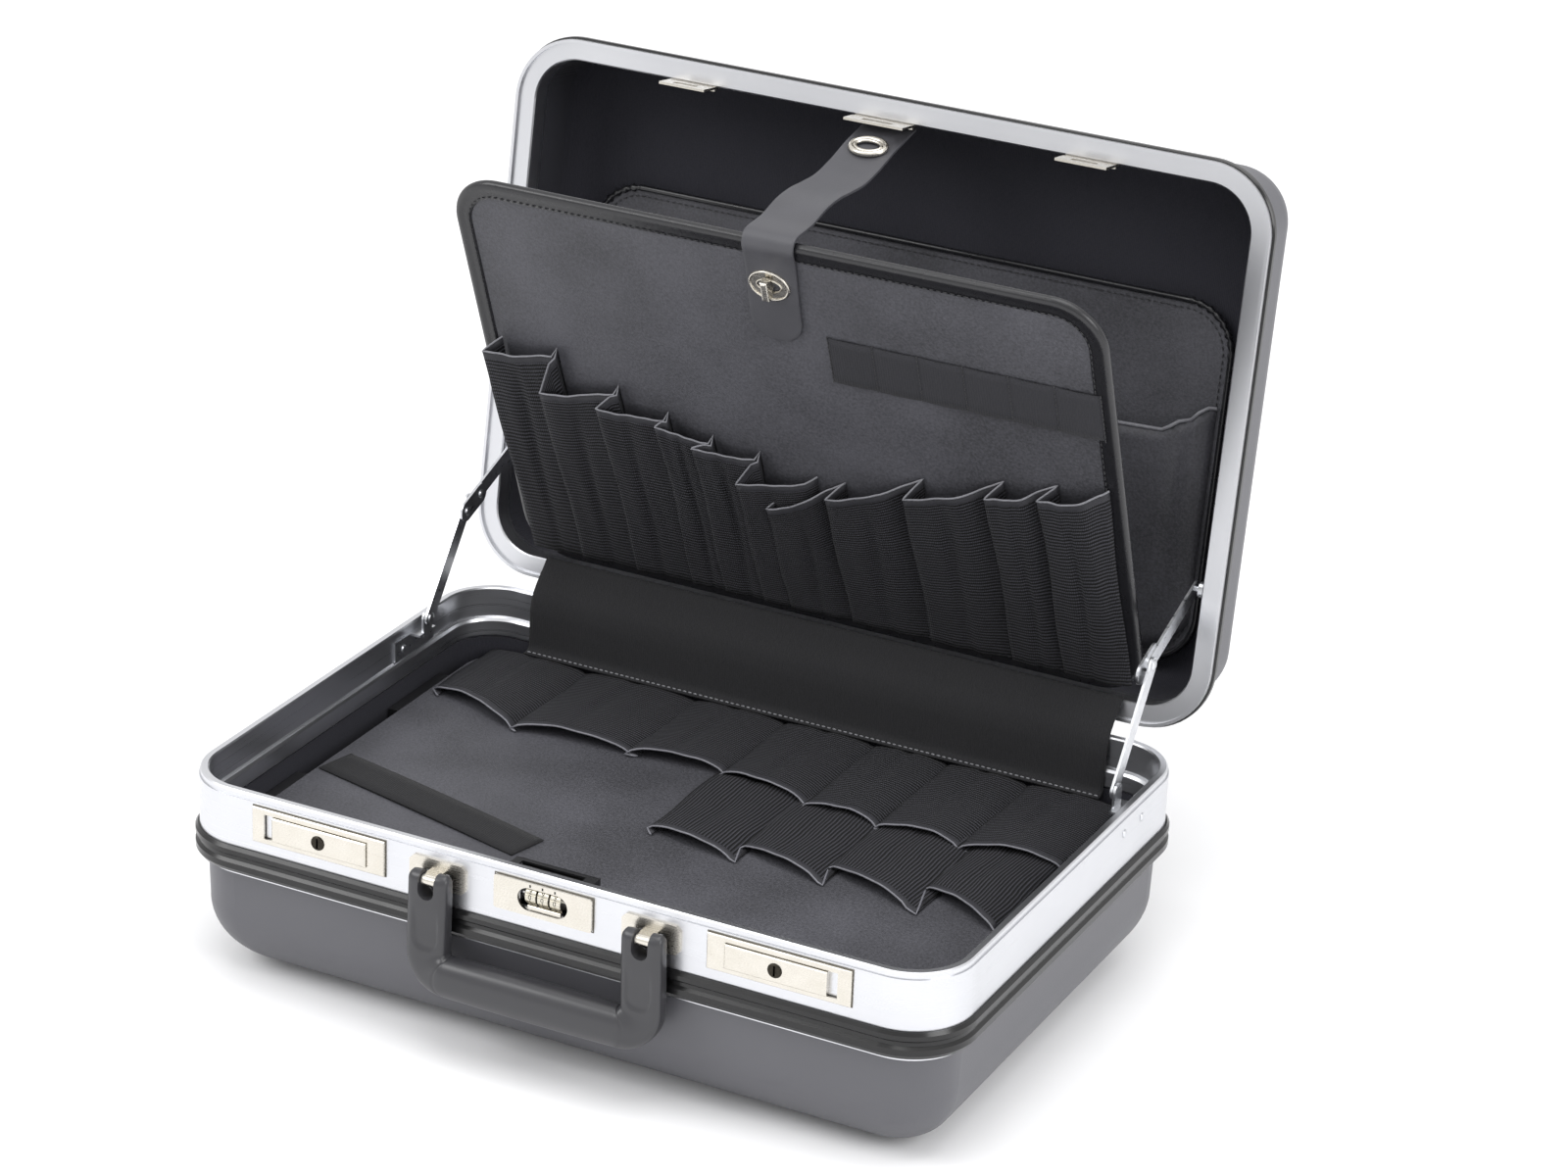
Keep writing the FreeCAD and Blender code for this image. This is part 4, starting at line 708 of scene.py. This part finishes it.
def pocket_row(name, cells, foot, depth, gusset, spot, body, node, seed, edging, lengthwise=False,
               front="louvred", foot_swell=0.3, sag_depth=0.0012):
    """One strip of cloth folded into pockets; a cell is (left, mouth there, right, mouth there) in millimetres.

    Between two pockets the cloth runs on along the back, folds to the left and comes forward again.
    'spot' turns (across, up, out) into a point, 'foot' is the sewn lower edge, and 'front' is how it bulges.
    """
    cells = [tuple(value * millimetre for value in cell) for cell in cells]
    first_left, first_mouth = cells[0][:2]
    lead = 0.3 if front == "humped" else 1.0
    # each column of the cloth: (across, share of the depth, mouth, how far it is creased in)
    columns = [(first_left + gusset, 0.05, first_mouth + 0.005, 0.0),
               (first_left + gusset * 0.6, 0.4 * lead, first_mouth + 0.0035, 0.0),
               (first_left + gusset * 0.12, 0.78 * lead, first_mouth + 0.001, 0.0)]
    for number, (left, mouth_left, right, mouth_right) in enumerate(cells):
        after = cells[number + 1] if number + 1 < len(cells) else None
        turn_in = (after[0] - left) / (right - left) if after else 0.97
        tucked = max(1 - turn_in, 0.01)
        for step in range(front_steps + 1):
            share = step / front_steps
            if front == "humped":
                arch = math.sin(math.pi * min(share / turn_in, 1.0))
                out = 0.16 + 0.84 * arch ** 0.5 - 0.10 * max(share - turn_in, 0.0) / tucked
            elif front == "louvred":
                out = 1.0 - 0.4 * share - (0.5 * eased((share - 0.9) / 0.1) if not after else 0.0)
            elif share < turn_in - 0.3:
                out = 0.92 + 0.08 * math.sin(math.pi * min(share * 1.6, 1.0))
            elif share < turn_in:
                out = 0.92 - 0.62 * eased((share - turn_in + 0.3) / 0.3)
            else:
                out = 0.30 - 0.22 * (share - turn_in) / tucked
            sag = -sag_depth * math.sin(share * math.pi) + 0.0005 * math.sin(share * 9 + seed + number)
            crease = math.exp(-((share - 0.42) / 0.06) ** 2) if right - left > 0.03 else 0.0
            columns.append((left + (right - left) * share, out,
                            mouth_left + (mouth_right - mouth_left) * share + sag, crease))
        if after and front == "louvred":
            columns.append((right + 0.0010, 0.08, mouth_right + 0.002, 0.0))
            columns.append((right + 0.0022, 0.62, mouth_right - 0.0005, 0.0))
        if after:
            fold_in, fold_out = {"louvred": (0.62, 0.96), "swept": (0.12, 0.9), "humped": (0.06, 0.16)}[front]
            for part in (0.2, 0.4, 0.6, 0.8, 0.94):
                columns.append((right + (after[0] - right) * part, fold_in + (fold_out - fold_in) * part ** 1.3,
                                mouth_right + (after[1] - mouth_right) * part, 0.0))
    grid = []
    for row in range(pocket_rows + 1):
        line = []
        for number, (across, out, mouth, crease) in enumerate(columns):
            hem = hem_height / (mouth - foot)
            rise = row / (pocket_rows - 1) * (1 - hem) if row < pocket_rows else 1.0
            height = foot + (mouth - foot) * rise
            swell = foot_swell + (1 - foot_swell) * rise ** 1.1 + 0.05 * rise ** 8
            ripple = 0.05 * math.sin(number * 0.9 + seed * 3) * math.sin(rise * 7 + number * 0.35 + seed)
            sway = 0.0012 * math.sin(rise * 5 + number * 0.21 + seed) * (1 - rise) * rise * 4
            out = max(out - 0.3 * crease * (1 - rise ** 4), 0.05)
            line.append(spot(across + sway, height, depth * out * swell * (1 + ripple) + 0.0007))
        grid.append(line)
    lengths = [0.0]
    for a, b in zip(grid[-1], grid[-1][1:]):
        lengths.append(lengths[-1] + (b - a).length)
    middle = len(columns) // 2
    heights = [(line[middle] - grid[0][middle]).length for line in grid]
    strip = grid_piece(name, grid, net_cloth, uv=(lambda r, c: (heights[r], lengths[c])) if lengthwise
                       else (lambda r, c: (lengths[c], heights[r])))
    strip.data.materials.append(hem_cloth)
    for face in strip.data.polygons[-(len(columns) - 1):]:
        face.material_index = 1
    strip = thickened(strip, 0.0005)
    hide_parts(node)
    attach(strip, body)
    edge = tube(name + "_tape", [grid[-1]], edge_radius, edging, body)


pocket_foot_height = 0.009
pocket_row("board_pockets_left", [
    (-199, 171, -154, 175), (-165, 147, -116, 156), (-127, 145.5, -85, 143.5), (-88, 142, -57, 133),
    (-66, 131, -27, 128.5), (-40, 110, 10, 120)],
           pocket_foot_height, 0.0112, 0.0085, on_board, "board", "board_pockets", 0.4, tape)
pocket_row("board_pockets_right", [
    (-22, 95, 28, 121), (19, 114, 80, 138), (71, 129, 132, 150), (124, 144, 166, 156), (157, 151, 198, 161)],
           pocket_foot_height, 0.0118, 0.0080, on_board, "board", "board_pockets", 2.3, tape, front="swept")
sew("board_pocket_stitches", [([on_board(x * millimetre, 0.0105, 0.0022) for x in range(-188, 190, 4)], False)],
    "board")

# ================================================================ loops on the tool board
# One strip of flat elastic sewn down at even places, which leaves six loops for pens and small tools.
elastic = ribbed_cloth("elastic_webbing_black", "#2a2a2d", "#3a3a3e", 0.0016, 0)
loop_left, loop_right = 0.031, 0.199
loop_low, loop_high = 0.198, 0.230
loop_count = 6
loop_steps = 72
loop_bulge = 0.0009
loop_foot = 0.0006
grid = []
for row in range(7):
    height = loop_low + (loop_high - loop_low) * row / 6
    line = []
    for step in range(loop_steps + 1):
        share = step / loop_steps
        bulge = abs(math.sin(share * loop_count * math.pi)) ** 0.7
        line.append(on_board(loop_left + (loop_right - loop_left) * share, height,
                             loop_foot + loop_bulge * bulge))
    grid.append(line)
loops = grid_piece("tool_loop_strip", grid, elastic)
loops = thickened(loops, 0.0007)
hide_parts("tool_loops")
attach(loops, "board")
seams = [([on_board(loop_left + (loop_right - loop_left) * n / loop_count,
                    loop_low + (loop_high - loop_low) * part / 8, 0.0012) for part in range(9)], False)
         for n in range(loop_count + 1)]
sew("loop_stitches", seams, "board", spacing=0.0032, length=0.0024)

# ================================================================ strap from lid to board
# A leathercloth strap cut in one piece with a rounded tip. It is riveted in the lid behind the centre catch,
# sags over to the board's top edge, and turns down its face to the turn lock, which passes through an eyelet.
strap_hide, tree, surface, place = new_finish("leathercloth_strap_smooth", {
    "Base Color": linear("#404044"), "Roughness": 0.48, "IOR": 1.5})
hide = add_node(tree, "ShaderNodeTexVoronoi", {"Vector": place.outputs["UV"], "Scale": 1 / 0.0012})
scuff = add_node(tree, "ShaderNodeTexNoise", {"Vector": place.outputs["UV"], "Scale": 45.0, "Detail": 4.0})
drive(tree, surface, (scuff.outputs[0], "#3a3a3e", "#4b4b50"), (scuff.outputs[0], 0.42, 0.58),
      (hide.outputs["Distance"], 0.2, 0.0002))


def smooth_run(points, step):
    """Evenly spaced points on a smooth curve through the given ones."""
    full = [points[0] * 2 - points[1]] + list(points) + [points[-1] * 2 - points[-2]]
    fine = []
    for i in range(1, len(full) - 2):
        a, b, c, d = full[i - 1:i + 3]
        for part in range(24):
            t = part / 24
            fine.append(0.5 * (b * 2 + (c - a) * t + (a * 2 - b * 5 + c * 4 - d) * t * t
                               + (b * 3 - a - c * 3 + d) * t ** 3))
    fine.append(points[-1])
    out, since = [fine[0]], 0.0
    for a, b in zip(fine, fine[1:]):
        gap = (b - a).length
        while since + gap >= step:
            a = a + (b - a) * ((step - since) / gap)
            out.append(a.copy())
            gap = (b - a).length
            since = 0.0
        since += gap
    return out


rim_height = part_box("tray_frame")[1].z
strap_half = 0.016
board_top = board_high + cord_radius
# the strap's run: back and height over the rim, then height on the board and out from its face
strap_points = [Vector((0, back, rim_height + up)) for back, up in (
    (0.2310, 0.3163), (0.2200, 0.3138), (0.2030, 0.3100), (0.1840, 0.3045), (0.1656, 0.3010), (0.1480, 0.3012),
    (0.1308, 0.3024), (0.1120, 0.3018), (0.0930, 0.2985))]
strap_points += [on_board(0, height, out) for height, out in (
    (board_top + 0.0032, -0.0050), (board_top + 0.0022, 0.0004), (board_top - 0.0030, 0.0030),
    (board_top - 0.0120, 0.0018), (board_top - 0.0240, 0.0013), (0.250, 0.0013), (0.235, 0.0013),
    (0.219, 0.0013))]
run_step = 0.002
spine = smooth_run(strap_points, run_step)
strap_grid = []
across_steps = 16
strap_drift = 0.0035
drift_at = 0.155
drift_reach = 0.045
cup_depth = 0.0012
run_length = run_step * (len(spine) - 1)
for index, point in enumerate(spine):
    to_tip = run_length - run_step * index
    half = strap_half
    if to_tip < strap_half:
        half = math.sqrt(max(strap_half ** 2 - (strap_half - to_tip) ** 2, 1e-8))
    drift = strap_drift * math.exp(-((index * run_step - drift_at) / drift_reach) ** 2)
    line = []
    for step in range(across_steps + 1):
        across = -1 + 2 * step / across_steps
        free = math.sin(min(index / len(spine) * 1.45, 1.0) * math.pi)
        cup = cup_depth * free * (across ** 2 - 0.4)
        line.append(point + Vector((half * across + drift, 0, cup)))
    strap_grid.append(line)
strap = grid_piece("board_strap_cut", strap_grid, strap_hide,
                   uv=lambda r, c: (strap_half * 2 * c / across_steps, run_step * r))
strap = thickened(strap, 0.0015)
strap_edge = strap.modifiers.new("edge", "BEVEL")
strap_edge.width = 0.0004
strap_edge.segments = 2
strap_edge.limit_method = "ANGLE"
strap = settled(strap)
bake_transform(strap)
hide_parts("board_strap")


# the ring at the strap's lid end, and the eyelet's raised oval rim round the turn lock
def oval_rim(name, centre, across, along, half_wide, half_tall, thick):
    """A raised oval bead lying in the plane of its two axes."""
    normal = across.cross(along).normalized()
    rings = []
    for step in range(48):
        angle = 2 * math.pi * step / 48
        spoke = across * math.cos(angle) * half_wide + along * math.sin(angle) * half_tall
        outward = spoke.normalized()
        ring = []
        for turn in range(8):
            tilt = 2 * math.pi * turn / 8
            ring.append(centre + spoke + outward * math.cos(tilt) * thick + normal * math.sin(tilt) * thick)
        rings.append(ring)
    return grid_piece(name, rings, nickel, wrap_rows=True, wrap_columns=True)


eyelet_low, eyelet_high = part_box("strap_eyelet")
eyelet_centre = (eyelet_low + eyelet_high) / 2
eyelet_slope = (strap_points[1] - strap_points[3]).normalized()
along_x = Vector((1, 0, 0))
eyelet = joined("strap_eyelet_ring", [
    oval_rim("eyelet_" + label, eyelet_centre + Vector((0, 0, lift)), along_x, eyelet_slope, wide, tall, thick)
    for label, lift, wide, tall, thick in (("outer", 0.0001, 0.0105, 0.0080, 0.0019),
                                           ("inner", 0.0004, 0.0082, 0.0056, 0.0012))])
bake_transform(eyelet)
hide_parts("strap_eyelet")

lock_spot = Vector(joints["turn_lock_turn"]["pos_m"])
eyelet_front = 0.0027
for label, wide, tall, thick in (("outer", 0.0122, 0.0097, 0.0008), ("inner", 0.0077, 0.0042, 0.0006)):
    rim = oval_rim("turn_lock_rim_" + label, lock_spot + board_out * eyelet_front, along_x, board_up,
                   wide, tall, thick)
    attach(rim, "board")

# ================================================================ flap over the hinges
# Ribbed cloth sewn to the lid's lower edge and the pallet's back edge. It hides the gap between tray and lid.
flap_cloth = ribbed_cloth("flap_cloth_ribbed", "#1e1e1f", "#303032", 0.0014, 0)
flap_half = 0.1925
flap_route = [Vector((0, back, rim_height + up)) for back, up in (
    (0.1462, -0.0352), (0.1502, -0.0348), (0.1528, -0.0325), (0.1536, -0.0260), (0.1541, -0.0160),
    (0.1548, -0.0080), (0.1574, 0.0004), (0.1630, 0.0076), (0.1692, 0.0138), (0.1744, 0.0196))]
flap_run = smooth_run(flap_route, run_step)
flap_grid = []
flap_steps = 120
for index, point in enumerate(flap_run):
    line = []
    for step in range(flap_steps + 1):
        share = -1 + 2 * step / flap_steps
        slack = math.sin(math.pi * index / (len(flap_run) - 1))
        ripple = 0.0006 * slack * (math.sin(share * 7.0) + 0.6 * math.sin(share * 17.0 + 1.0))
        line.append(point + Vector((flap_half * share, -abs(ripple) - 0.0004 * slack, 0.0)))
    flap_grid.append(line)
flap = grid_piece("hinge_flap_cloth", flap_grid, flap_cloth,
                  uv=lambda r, c: (flap_half * 2 * c / flap_steps, run_step * r))
flap = thickened(flap, 0.0009)
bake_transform(flap)
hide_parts("hinge_flap")

# a row of grey stitches holds the flap to the pallet's back edge
pale_thread = mottled("polyester_thread_grey", {"Base Color": linear("#7c7c80"), "Roughness": 0.55},
                      3000.0, 2.0, tone=("#5e5e62", "#98989c"))
seam = [Vector((x * millimetre, 0.1484, rim_height - 0.0345)) for x in range(-190, 191, 5)]
sew("flap_seam_stitches", [(seam, False)], "tray", spacing=0.0036, length=0.0026, thickness=0.001,
    colour=pale_thread)

# ================================================================ pockets on the pallet
# The same net cloth, sewn along the pallet's back edge and across its middle, with mouths to the front.
pallet_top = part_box("pallet")[1].z


def on_pallet_back(x, reach, out):
    """Point on the back row: its sewn edge is along the pallet's back."""
    return Vector((x, 0.1465 - reach, pallet_top + out))


def on_pallet_front(x, reach, out):
    """Point on the front row, sewn under the back row's mouths."""
    return Vector((x, 0.0670 - reach, pallet_top + out))


# the piping's light grey is painted highlight along the pocket mouths
piping = mottled("vinyl_piping_painted_highlight_grey", {"Base Color": linear("#6c6c72"), "Roughness": 0.4}, 500.0, 3.0,
                 tone=("#5a5a60", "#818188"))

pocket_row("pallet_pockets_back_row", [
    (-216, 68, -145, 92), (-149, 91, -67, 84), (-74, 86, -8, 79), (-13, 82, 54, 93), (47, 95, 102, 96),
    (95, 97, 154, 95), (147, 96, 208, 86)],
           0.0, 0.0072, 0.006, on_pallet_back, "tray", "pallet_pockets_back", 1.1, piping, front="humped",
           foot_swell=0.5, sag_depth=0.0022)
pocket_row("pallet_pockets_front_row", [
    (-16, 84, 46, 95), (41, 79, 101, 94), (95, 75, 161, 98), (153, 69, 206, 93)],
           0.0, 0.0060, 0.005, on_pallet_front, "tray", "pallet_pockets_front", 3.2, piping, lengthwise=True,
           front="humped", foot_swell=0.5)

# ================================================================ strap on the pallet
# A flat band of the flap's cloth across the pallet's left front, hemmed at its free end.
band_grid = []
band_steps = 40
band_start = Vector((-0.2150, -0.0340, pallet_top))
band_end = Vector((-0.0630, -0.0720, pallet_top))
band_width = 0.026
band_side = Vector((0.24, 0.97, 0)).normalized() * band_width / 2
for step in range(band_steps + 1):
    share = step / band_steps
    middle = band_start.lerp(band_end, share)
    rise = 0.0006 + 0.0007 * math.sin(share * math.pi)
    band_grid.append([middle + band_side * across + Vector((0, 0, rise)) for across in (1, 0.5, 0, -0.5, -1)])
band = grid_piece("pallet_strap_band", band_grid, flap_cloth)
band = thickened(band, 0.0009)
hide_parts("pallet_strap")
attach(band, "tray")

# ================================================================ document pocket in the lid
# A gathered leathercloth pocket on the document panel, its mouth bound with vinyl cord.
lid_pin = Vector(joints["lid_hinge"]["pos_m"])


def in_lid(x, back, depth):
    """Point in the open lid from where it is with the lid shut: across, along Y, and height over the rim."""
    return lid_pin + Matrix.Rotation(-lid_turn, 4, "X") @ (Vector((x, back, rim_height + depth)) - lid_pin)


panel_front = 0.0554
cord_thick = 0.0019
gather = 0.45
panel_outline = rounded_outline(-0.210, 0.210, -0.074, 0.142, 0.030, corner_steps=20)
rings = []
for turn in range(8):
    tilt = 2 * math.pi * turn / 8
    ring = []
    for number, (x, y, nx, ny) in enumerate(panel_outline):
        gathered = abs(nx * ny) > 0.02 and y < -0.03
        thick = cord_thick * (1 + (gather * math.sin(number * 2.4) if gathered else 0.0))
        ring.append(in_lid(x + nx * thick * math.cos(tilt), y + ny * thick * math.cos(tilt),
                           panel_front - 0.0004 + thick * math.sin(tilt)))
    rings.append(ring)
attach(grid_piece("document_panel_cord", rings, vinyl, wrap_rows=True, wrap_columns=True), "lid")
sew("document_panel_stitches", [([in_lid(x - nx * 0.005, y - ny * 0.005, panel_front - 0.0006)
                                  for x, y, nx, ny in panel_outline], True)], "lid")

doc_grid = []
doc_columns = 96
doc_rows = 16
doc_left, doc_right = -0.198, 0.206
for row in range(doc_rows + 1):
    rise = row / doc_rows
    line = []
    for column in range(doc_columns + 1):
        share = column / doc_columns
        x = doc_left + (doc_right - doc_left) * share
        pleat = math.exp(-((x - 0.188) / 0.0045) ** 2)
        bow = math.sin(math.pi * min(max((x + 0.18) / 0.36, 0), 1))
        mouth = 0.003 - 0.007 * eased((x - 0.176) / 0.012) + 0.006 * bow - 0.010 * eased((x - 0.190) / 0.012)
        foot = 0.137 if abs(x) < 0.175 else 0.137 - 0.020 * ((abs(x) - 0.175) / 0.031) ** 2
        back = foot + (mouth - foot) * rise
        edge = eased((x - doc_left) / 0.014) * eased((doc_right - x) / 0.012)
        swell = edge * (0.2 + 0.8 * rise) * (1 - 0.8 * pleat * rise)
        fold = 0.0007 * math.sin(share * 19 + 2 * rise) * rise
        line.append(in_lid(x, back, panel_front - 0.0008 - 0.0066 * swell - fold))
    doc_grid.append(line)
doc_pocket = grid_piece("document_pocket_cloth", doc_grid, leathercloth)
doc_pocket = thickened(doc_pocket, 0.0008)
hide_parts("document_pocket")
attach(doc_pocket, "lid")
# the mouth's tape has the same light grey of painted highlight
doc_edge = tube("document_pocket_tape", [doc_grid[-1]], 0.0012, tape, "lid")

# ================================================================ studio
# A pale sweep under soft light from above and both sides, and a long lens a little above the case.
floor_finish = mottled("paper_sweep_white", {"Base Color": linear("#f4f4f5"), "Roughness": 0.9}, 3.0, 2.0,
                       tone=("#f2f2f3", "#f6f6f7"))
floor_mesh = bpy.data.meshes.new("studio_floor")
floor_mesh.from_pydata([(-9, -9, 0), (9, -9, 0), (9, 9, 0), (-9, 9, 0)], [], [(0, 1, 2, 3)])
floor_mesh.materials.append(floor_finish)
linked("studio_floor", floor_mesh)

world = bpy.data.worlds.new("studio_air")
bpy.context.scene.world = world
world.use_nodes = True
world.node_tree.nodes.clear()
glow = add_node(world.node_tree, "ShaderNodeBackground", {"Color": linear("#ffffff"), "Strength": 1.0})
add_node(world.node_tree, "ShaderNodeOutputWorld", {"Surface": glow.outputs[0]})


def softbox(name, spot, aim, wide, power):
    """A square area light that faces a point."""
    lamp = bpy.data.lights.new(name, "AREA")
    lamp.shape = "SQUARE"
    lamp.size = wide
    lamp.energy = power
    held = linked(name, lamp)
    held.location = spot
    held.rotation_euler = (Vector(aim) - Vector(spot)).to_track_quat("-Z", "Y").to_euler()


softbox("softbox_left", (-1.9, -1.6, 2.2), (0, 0, 0.15), 1.4, 30)
softbox("softbox_right", (2.2, -0.6, 1.4), (0, 0, 0.15), 1.2, 20)
softbox("softbox_top", (0.2, -0.2, 2.4), (0, 0, 0.1), 1.8, 26)
bpy.context.scene.view_settings.view_transform = "Standard"

view_azimuth, view_elevation, view_roll = (math.radians(v) for v in (26.37, 23.79, 2.24))
back = Vector((math.sin(view_azimuth) * math.cos(view_elevation),
               -math.cos(view_azimuth) * math.cos(view_elevation), math.sin(view_elevation)))
level_right = Vector((math.cos(view_azimuth), math.sin(view_azimuth), 0))
level_up = back.cross(level_right)
right = level_right * math.cos(view_roll) + level_up * math.sin(view_roll)
upward = level_up * math.cos(view_roll) - level_right * math.sin(view_roll)
lens = bpy.data.cameras.new("studio_camera")
lens.sensor_width = 36.0
lens.lens = 107.13
lens.clip_end = 50.0
camera = linked("studio_camera", lens)
camera.matrix_world = Matrix(((right.x, upward.x, back.x, 1.1046), (right.y, upward.y, back.y, -2.1144),
                              (right.z, upward.z, back.z, 1.2852), (0, 0, 0, 1)))
bpy.context.scene.camera = camera
